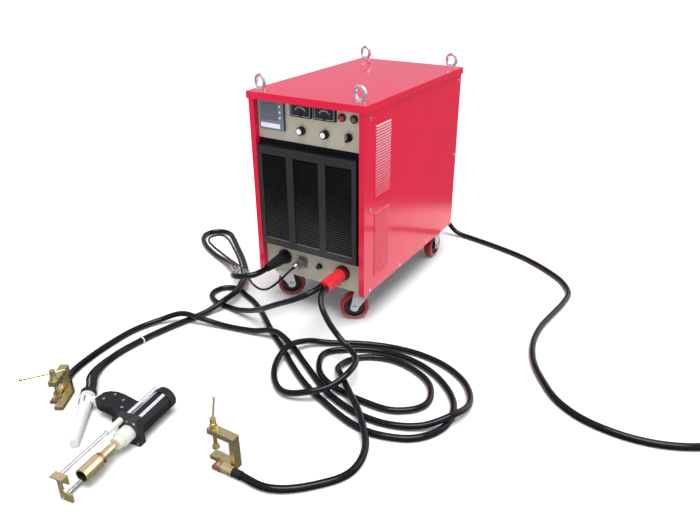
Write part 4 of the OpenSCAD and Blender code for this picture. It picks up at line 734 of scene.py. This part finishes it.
def cable_run(route, diameter):
    """A smooth run through a route's points that never sinks into the floor."""
    points = [Vector(p) for p in route]
    legs = [(b - a).length for a, b in zip(points, points[1:])]
    heads = [(b - a) / leg for a, b, leg in zip(points, points[1:], legs)]
    turns = [heads[0]]
    for k in range(1, len(points) - 1):
        turns.append((heads[k - 1] * legs[k] + heads[k] * legs[k - 1]).normalized())
    turns.append(heads[-1])
    run = []
    for k, leg in enumerate(legs):
        for step in range(CABLE_STEPS):
            t = step / CABLE_STEPS
            run.append(
                points[k] * ((1 + 2 * t) * (1 - t) ** 2) + turns[k] * (leg * t * (1 - t) ** 2)
                + points[k + 1] * (t * t * (3 - 2 * t)) + turns[k + 1] * (leg * t * t * (t - 1)))
    run.append(points[-1])
    return [Vector((p.x, p.y, max(p.z, diameter / 2))) for p in run]


def lay_cable(name):
    """One cable as a round curve in place of its plain solid."""
    width, points = CABLE_ROUTES[name]
    diameter = width / 1000
    route = [tuple(value / 1000 for value in point) for point in points]
    run = cable_run(route, diameter)
    line = bpy.data.curves.new(name + "_skin", "CURVE")
    line.dimensions = "3D"
    line.bevel_depth = diameter / 2
    line.bevel_resolution = 5
    line.use_fill_caps = True
    spline = line.splines.new("POLY")
    spline.points.add(len(run) - 1)
    for point, place in zip(spline.points, run):
        point.co = (*place, 1)
    spline.use_smooth = True
    line.materials.append(cable_rubber)
    cable = bpy.data.objects.new(name + "_skin", line)
    link(cable)
    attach(cable, "welder")
    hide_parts(name)


place_camera()
light_studio()
lay_floor()

# Cabinet

SIDE_FACE_X = 0.215
HOOD_CLEAR = 0.0004
HOOD_SLOPE = 0.2
GRILLE_FACE_Y = -0.37
FACE_WITHIN = 0.0005
FACING_OUT = -0.5
SLATS_BACK_Y = -0.3618
SILL_Z = 0.2645
SILL_WITHIN = 0.001
SILL_SLOPE = 0.7
SIDE_SCREW_X = 0.2178
SCREW_Y = (-0.329, 0.3495)
SCREW_Z = (0.14, 0.428, 0.716)
BASE_SCREW_Y = (-0.1095, 0.1168)


def hood_finish(point, normal):
    """Painted highlight: paint that is paler further up, on the louvres' hoods, which catch the light."""
    return 1 if abs(point.x) > SIDE_FACE_X + HOOD_CLEAR and normal.z > HOOD_SLOPE else 0


def grille_finish(point, normal):
    """Grey paint on the face, a painted highlight of paler grey on the windows' sills, and black elsewhere.
    """
    if abs(point.z - SILL_Z) < SILL_WITHIN and normal.z > SILL_SLOPE:
        return 2
    return 0 if point.y < GRILLE_FACE_Y + FACE_WITHIN and normal.y < FACING_OUT else 1


def slat_finish(point, normal):
    """Paint on the slats, and behind them a near-black mat that is painted shade for the dark inside of the
    cabinet.
    """
    return 1 if point.y > SLATS_BACK_Y else 0


def side_screw_slots():
    """Crossed slots on the heads of the side screws."""
    points = bpy.data.meshes.new("screw_points")
    spots = [(y, z) for y in SCREW_Y for z in SCREW_Z] + [(y, SCREW_Z[0]) for y in BASE_SCREW_Y]
    points.from_pydata([(side * SIDE_SCREW_X, y, z) for side in (-1, 1) for y, z in spots], [], [])
    values = tree_values(SCREW_CROSSES, Length=0.0056, Width=0.0011, Depth=0.0008, Finish=dark_bore)
    put("side_screw_slots", settled(points, [("NODES", values)]), [dark_bore])


for panel in ("left_side_panel", "right_side_panel"):
    dressed(panel, [red_enamel, painted_hood_highlight], hood_finish)
dressed("top_cover", [red_enamel], edge=0.0014, rings=3)
dressed("rear_panel", [red_enamel], edge=0.0008)
for panel in ("control_panel", "socket_panel"):
    dressed(panel, [beige_enamel], edge=0.0005)
dressed("front_grille", [grille_enamel, grille_black, grille_sill_highlight], grille_finish, edge=0.0008)
dressed("grille_louvres", [louvre_enamel, filter_mat], slat_finish, edge=0)
dressed("base_frame", [frame_enamel])
dressed("lifting_eyes", [bright_chrome], edge=0.0008)
dressed("fasteners", [screw_zinc], edge=0.0005)
side_screw_slots()

# Digital controller

CONTROLLER_X = -0.134
CONTROLLER_Z = COVER_TOP - 0.07
WINDOW_OUT = 0.0096
KEYS_OUT = 0.0098
KEY_STEP = 0.018
KEY_SHAPE = [(0, 0), (0.0034, 0), (0.0034, 0.0012), (0.0028, 0.0018), (0, 0.002)]
FACING_FRONT = -0.8


def controller_finish(point, normal):
    """A slate face in a navy case."""
    return 1 if normal.y < FACING_FRONT else 0


dressed("digital_controller", [navy_moulding, slate_face], controller_finish, edge=0.001)
window = front_plate((0.066, 0.056, 0.002, 0.0012), CONTROLLER_X - 0.009, CONTROLLER_Z + 0.012, WINDOW_OUT)
put("controller_window", window, [smoke_window])
strip = front_plate((0.076, 0.015, 0.001, 0.0006), CONTROLLER_X - 0.005, CONTROLLER_Z - 0.034, KEYS_OUT)
put("controller_strip", strip, [blank_strip])
key_places = [on_front(CONTROLLER_X + 0.034, CONTROLLER_Z + 0.03 - KEY_STEP * k, KEYS_OUT) for k in range(3)]
put("controller_keys", turned_set(KEY_SHAPE, 20, key_places), [white_cap])

# Panel meters

METER_Z = COVER_TOP - 0.043
RIM_OUT = 0.0076
DIAL_OUT = 0.0078
SCALE_OUT = 0.0086
SCALE_DROP = 0.0125
SCALE_ARC = (math.radians(38), math.radians(104))
NEEDLE_ARC = (math.radians(128), math.radians(0.01))
HUB_OUT = 0.0082
HUB_DROP = 0.0115
HUB_SHAPE = [(0, 0), (0.0075, 0), (0.0075, 0.0014), (0.0062, 0.0022), (0, 0.0026)]


def meter_face(name, x):
    """A dark dial in a grey rim, with a pale scale, a needle and a cover over its pivot."""
    rim = front_plate((0.0712, 0.0372, 0.0026, 0.0006), x, METER_Z, RIM_OUT)
    put(name + "_rim", rim, [dial_rim])
    dial = front_plate((0.068, 0.034, 0.002, 0.0006), x, METER_Z, DIAL_OUT)
    put(name + "_dial", dial, [dial_black])
    ticks = arc_bars(21, 0.0225, (0.0028, 0.0005, 0.0003), dial_mark, *SCALE_ARC)
    longer = arc_bars(5, 0.0232, (0.0048, 0.0008, 0.0003), dial_mark, *SCALE_ARC)
    needle = arc_bars(2, 0.0128, (0.019, 0.0006, 0.0005), dial_mark, *NEEDLE_ARC)
    line = arc_bars(80, 0.0209, (0.0006, 0.0006, 0.0003), dial_mark, *SCALE_ARC)
    scale = moved(joined([ticks, longer, line, needle]), on_front(x, METER_Z - SCALE_DROP, SCALE_OUT))
    put(name + "_scale", scale, [dial_mark])
    hub = turned_set(HUB_SHAPE, 28, [on_front(x, METER_Z - HUB_DROP, HUB_OUT)])
    put(name + "_hub", hub, [black_moulding])


dressed("panel_meters", [black_moulding], edge=0.0008)
meter_face("current_meter", -0.022)
meter_face("voltage_meter", 0.066)

# Lamps and knobs

LENS_SPLIT_X = 0.147
KNOB_Z = COVER_TOP - 0.107
KNOB_CAP_OUT = 0.0199
KNOB_CAP_RADIUS = 0.0095
FLUTES_OUT = 0.0126
INDEX_OUT = 0.0201
PRINT_OUT = 0.0001
AT_TOP = (math.pi / 2, 0.01)
KNOB_ENDS = (math.radians(-60), math.radians(300))
SELECTOR_X = 0.15
SELECTOR_Z = COVER_TOP - 0.105
SELECTOR_OUT = 0.02
SELECTOR_ARC = (math.radians(45), math.radians(90))


def lens_finish(point, normal):
    """A red lens at the left and an olive one at the right."""
    return 1 if point.x > LENS_SPLIT_X else 0


def knob_skin(node, body, x):
    """A setting knob: black skirt and grip, white cap, fluted side, index line; marks on the panel."""
    def cap(point, normal):
        near = math.hypot(point.x - x, point.z - KNOB_Z) < KNOB_CAP_RADIUS
        return 1 if near and point.y < FRONT_Y - KNOB_CAP_OUT else 0

    dressed(node, [black_moulding, white_cap], cap, edge=0.0004)
    flutes = arc_bars(24, 0.0124, (0.0012, 0.0014, 0.0105), black_moulding)
    flutes = moved(flutes, on_front(x, KNOB_Z, FLUTES_OUT))
    put(node + "_flutes", flutes, [black_moulding], body)
    index = arc_bars(1, 0.0105, (0.0045, 0.0011, 0.0006), white_cap, *AT_TOP)
    put(node + "_index", moved(index, on_front(x, KNOB_Z, INDEX_OUT)), [white_cap], body)
    mark = arc_bars(1, 0.0185, (0.004, 0.0016, 0.0003), print_black, *AT_TOP)
    ends = arc_bars(2, 0.0185, (0.003, 0.001, 0.0003), print_black, *KNOB_ENDS)
    scale = moved(joined([mark, ends]), on_front(x, KNOB_Z, PRINT_OUT))
    put(node + "_scale", scale, [print_black])


dressed("lamp_bezels", [black_moulding])
dressed("lamp_lenses", [red_lens, olive_lens], lens_finish, edge=0)
dressed("control_pots", [nickel_screw], edge=0)
knob_skin("current_knob", "current_dial", -0.022)
knob_skin("time_knob", "time_dial", 0.066)
dressed("selector_knob", [black_moulding], edge=0.0008)
pointer = front_plate((0.0012, 0.016, 0.0005, 0.0004, 0.0001), SELECTOR_X, SELECTOR_Z + 0.0035, SELECTOR_OUT)
put("selector_pointer", pointer, [white_cap], "selector")
stops = arc_bars(3, 0.019, (0.003, 0.0012, 0.0003), print_black, *SELECTOR_ARC)
stops = moved(stops, on_front(SELECTOR_X, SELECTOR_Z, PRINT_OUT))
put("selector_marks", stops, [print_black])

# Sockets and plugs

GUN_SOCKET = (-0.114, BASE_Z + 0.064)
CONTROL_SOCKET = (-0.042, BASE_Z + 0.06)
FUSE = (0.03, BASE_Z + 0.062)
EARTH_SOCKET = (0.123, BASE_Z + 0.061)
CONTROL_SOCKET_LEFT = -0.08
CONTROL_SOCKET_RIGHT = 0.0
PLUG_ROOT_OUT = 0.0205
CORNER_SCREW = 0.0172
CORNER_SCREW_SHAPE = [(0, 0), (0.0024, 0), (0.0024, 0.0007), (0.0016, 0.0014), (0, 0.0016)]


def socket_finish(point, normal):
    """Nickel on the control socket, black on the two power sockets."""
    return 1 if CONTROL_SOCKET_LEFT < point.x < CONTROL_SOCKET_RIGHT else 0


def earth_plug_finish(point, normal):
    """A red plug with a dark root at the panel."""
    return 1 if point.y > FRONT_Y - PLUG_ROOT_OUT else 0


def front_rings(count, step, first, spot, bars):
    """Rings of bars one behind the other on a plug; bars are given as to arc_bars."""
    return joined([moved(arc_bars(*bars), on_front(*spot, first + step * k)) for k in range(count)])


dressed("panel_sockets", [black_moulding, dull_nickel], socket_finish, edge=0.0008)
gun_plug_skin = dressed("gun_plug", [soft_black], edge=0.003, rings=3)
ridges = front_rings(3, 0.008, 0.018, GUN_SOCKET, (36, 0.0192, (0.0012, 0.0036, 0.0022), soft_black))
put("gun_plug_ridges", ridges, [soft_black])
dressed("earth_plug", [plug_red, plug_root], earth_plug_finish, edge=0.0016, rings=3)
ridges = front_rings(4, 0.012, 0.05, EARTH_SOCKET, (48, 0.0216, (0.0009, 0.0029, 0.0016), plug_red))
put("earth_plug_ridges", ridges, [plug_red])
control_plug_skin = dressed("control_plug", [dull_nickel], edge=0.0007)
knurl = front_rings(1, 0, 0.0135, CONTROL_SOCKET, (48, 0.0191, (0.0008, 0.0012, 0.0125), dull_nickel))
put("control_plug_knurl", knurl, [dull_nickel])
screw_places = [
    on_front(CONTROL_SOCKET[0] + sx * CORNER_SCREW, CONTROL_SOCKET[1] + sz * CORNER_SCREW, 0.004)
    for sx in (-1, 1) for sz in (-1, 1)]
put("control_socket_screws", turned_set(CORNER_SCREW_SHAPE, 16, screw_places), [nickel_screw])
dressed("fuse_holder", [black_moulding], edge=0.0007)
fuse_slot = front_plate((0.011, 0.0018, 0.0006, 0.0004, 0.0001), *FUSE, 0.0137)
put("fuse_slot", fuse_slot, [dark_bore])
dressed("earth_stud", [brass_gold], edge=0.0004)

# Casters

TREAD_FROM = 0.0365
WHEELS = {
    "front_left_wheel": ((-0.145638, -0.273149, 0.05), (-0.601815, 0.798636, 0)),
    "front_right_wheel": ((0.143751, -0.304, 0.05), (-0.5, 0.866025, 0)),
    "rear_left_wheel": ((-0.168, 0.29, 0.05), (1, 0, 0)),
    "rear_right_wheel": ((0.168, 0.29, 0.05), (1, 0, 0)),
}


def wheel_skin(node, centre, axis):
    """A red tread on a dark centre."""
    middle = Vector(centre)
    along = Vector(axis).normalized()

    def part(point, normal):
        arm = point - middle
        return 0 if (arm - along * arm.dot(along)).length > TREAD_FROM else 1

    dressed(node, [wheel_red, wheel_hub], part, edge=0.0012, rings=3)


dressed("caster_mounts", [fork_zinc])
for fork in ("front_left_fork", "front_right_fork"):
    dressed(fork, [fork_zinc])
for node, (centre, axis) in WHEELS.items():
    wheel_skin(node, centre, axis)

# Inside the cabinet

INSIDE = {
    "transformer_core": core_sheets, "transformer_windings": wound_copper, "rectifier_stack": heat_sink,
    "output_choke": wound_copper, "control_board": board_green, "fan_frame": grille_enamel,
    "fan_rotor": black_moulding}
for node, paint in INSIDE.items():
    dressed(node, [paint], edge=0.0008 if node != "control_board" else 0)

# Stud gun

RAIL_ENDS = (-0.122, -0.0112)
RIB_RADIUS = 0.0302
RAIL_Z = 0.022
GRIP_SCREWS_Z = 0.0163
MOUTH_X = 0.136
MOUTH_RADIUS = 0.0152
COPPER_ENDS = (0.1135, 0.1245)
COPPER_RADIUS = 0.0125
BLOCK_SCREW_SHAPE = [(0, 0), (0.0038, 0), (0.0038, 0.0022), (0.003, 0.003), (0, 0.003)]
CAP_SCREW_SHAPE = [(0, 0), (0.003, 0), (0.003, 0.0018), (0.0022, 0.0024), (0, 0.0024)]
CAP_SCREW = Matrix.Translation((-0.147, 0, 0.022)) @ ALONG_X.inverted()
in_gun = local(GUN_PLACE)


def barrel_finish(point, normal):
    """Bright rails on the upper and lower ribs."""
    own = in_gun(point)
    outside = RAIL_ENDS[0] < own.x < RAIL_ENDS[1] and math.hypot(own.y, own.z) > RIB_RADIUS
    return 1 if outside and abs(own.z) > RAIL_Z else 0


def grip_finish(point, normal):
    """Nickel on the screw heads that stand out of the grip's sides."""
    return 1 if abs(in_gun(point).z) > GRIP_SCREWS_Z else 0


def chuck_finish(point, normal):
    """Brass with a copper collar and a dark mouth."""
    own = in_gun(point)
    around = math.hypot(own.y, own.z)
    if own.x > MOUTH_X and around < MOUTH_RADIUS:
        return 2
    return 1 if COPPER_ENDS[0] < own.x < COPPER_ENDS[1] and around > COPPER_RADIUS else 0


dressed("gun_barrel", [black_moulding, silver_rail], barrel_finish, edge=0.0008)
dressed("gun_grip", [soft_black, nickel_screw], grip_finish, edge=0.004, rings=4)
dressed("gun_trigger", [black_moulding], edge=0.002, rings=3)
dressed("gun_front_block", [block_grey], edge=0.0012)
dressed("gun_insulator", [cream_sleeve], edge=0.001)
dressed("gun_chuck", [brass_gold, raw_copper, dark_bore], chuck_finish, edge=0.0008)
dressed("gun_legs", [bright_chrome], edge=0.001)
dressed("gun_foot", [brass_gold], edge=0.0012)
screw_places = [
    GUN_PLACE @ Matrix.Translation((0.011, y, z)) @ ALONG_X
    for y in (-0.0005, 0.0235) for z in (-0.034, 0.034)]
put("gun_block_screws", turned_set(BLOCK_SCREW_SHAPE, 20, screw_places), [nickel_screw])
screw_places = [GUN_PLACE @ spin(a, "X") @ CAP_SCREW for a in (45, 135, 225, 315)]
put("gun_cap_screws", turned_set(CAP_SCREW_SHAPE, 18, screw_places), [nickel_screw])

# Cable boot

BOOT_END_X = 0.0002
BOOT_END_RADIUS = 0.0225
COLLAR_END_X = 0.0162
COLLAR_RADIUS = 0.0205
in_boot = local(BOOT_PLACE)


def boot_finish(point, normal):
    """A white boot with a black collar at the cables' end."""
    own = in_boot(point)
    around = math.hypot(own.y, own.z)
    if own.x < BOOT_END_X and around < BOOT_END_RADIUS:
        return 1
    return 1 if own.x < COLLAR_END_X and around > COLLAR_RADIUS else 0


dressed("cable_boot", [boot_white, soft_black], boot_finish, edge=0.0012, rings=3)
slits = arc_bars(6, 0.0188, (0.003, 0.0022, 0.022), dark_bore)
slits = moved(slits, BOOT_PLACE @ Matrix.Translation((0.045, 0, 0)) @ ALONG_X)
put("boot_slits", slits, [dark_bore])

# Earth clamps

SLEEVE_END_X = -0.0064
BARREL_END_X = 0.0276
LUG_SCREW_X = 0.0425
LUG_SCREW_REACH = 0.0075
LUG_SCREW_Z = 0.0092
in_right = local(RIGHT_CLAMP)
in_left = local(LEFT_CLAMP)


def lug_finish(point, normal):
    """A black sleeve, a brass barrel, a copper tongue and a plated screw."""
    own = in_right(point) if point.x > 0 else in_left(point)
    if own.x < SLEEVE_END_X:
        return 1
    if own.x < BARREL_END_X:
        return 2
    return 3 if abs(own.x - LUG_SCREW_X) < LUG_SCREW_REACH and own.z > LUG_SCREW_Z else 0


dressed("clamp_frames", [yellow_plate], edge=0.0015, rings=3)
for node in ("right_clamp_pad", "left_clamp_pad"):
    dressed(node, [yellow_plate], edge=0.0008)
for node in ("right_clamp_screw", "left_clamp_screw"):
    dressed(node, [yellow_plate])
dressed("clamp_lugs", [raw_copper, soft_black, brass_gold, screw_zinc], lug_finish)

# Cables and what is on them

GLAND_FROM_Y = 0.3
PINS_FROM_Y = 0.0105
TIE_LOW = Vector((-0.3945, -0.8, 0.0042))
TIE_HIGH = Vector((-0.377, -0.8, 0.0102))
TIE_RUN = Vector((0.17, 0.985, 0)).normalized()
TIE_LOW_RADIUS = 0.0044
TIE_HIGH_RADIUS = 0.0104
TIE_HALF = 0.0022
TIE_THICK = 0.0009
TIE_SIDES = 36
TIE_FLOOR = 0.0002
TIE_HEAD_LIFT = 0.0105


def mains_finish(point, normal):
    """A black gland at the cabinet, and a red plug with brass pins."""
    return 1 if point.y > GLAND_FROM_Y else 2 if point.y > PINS_FROM_Y else 0


def cable_tie():
    """A white band round the gun and control cables, with its locking head."""
    side = (TIE_HIGH - TIE_LOW).normalized()
    up = side.cross(TIE_RUN) if side.cross(TIE_RUN).z > 0 else TIE_RUN.cross(side)
    section = ((0, -TIE_HALF), (TIE_THICK, -TIE_HALF), (TIE_THICK, TIE_HALF), (0, TIE_HALF))
    shape = bmesh.new()
    rows = []
    for k in range(TIE_SIDES):
        a = 2 * math.pi * k / TIE_SIDES
        turn = side * math.cos(a) + up * math.sin(a)
        middle, reach = (TIE_HIGH, TIE_HIGH_RADIUS) if math.cos(a) > 0 else (TIE_LOW, TIE_LOW_RADIUS)
        row = [shape.verts.new(middle + turn * (reach + lift) + TIE_RUN * shift) for lift, shift in section]
        for corner in row:
            corner.co.z = max(corner.co.z, TIE_FLOOR)
        rows.append(row)
    for row, follow in zip(rows, rows[1:] + rows[:1]):
        for k in range(4):
            shape.faces.new((row[k], row[(k + 1) % 4], follow[(k + 1) % 4], follow[k]))
    bmesh.ops.recalc_face_normals(shape, faces=shape.faces)
    head_place = Matrix.Translation(TIE_HIGH + up * TIE_HEAD_LIFT) @ spin(10, "Z")
    head = moved(rounded_plate(0.0055, 0.006, 0.001, 0.0035), head_place)
    put("cable_tie", joined([as_mesh(shape, "band"), head]), [boot_white])


dressed("mains_fittings", [plug_red, black_moulding, brass_gold], mains_finish, edge=0.0012, rings=3)
lay_cable("gun_cable")
lay_cable("control_cable")
lay_cable("right_earth_cable")
lay_cable("left_earth_cable")
lay_cable("mains_cable")
cable_tie()
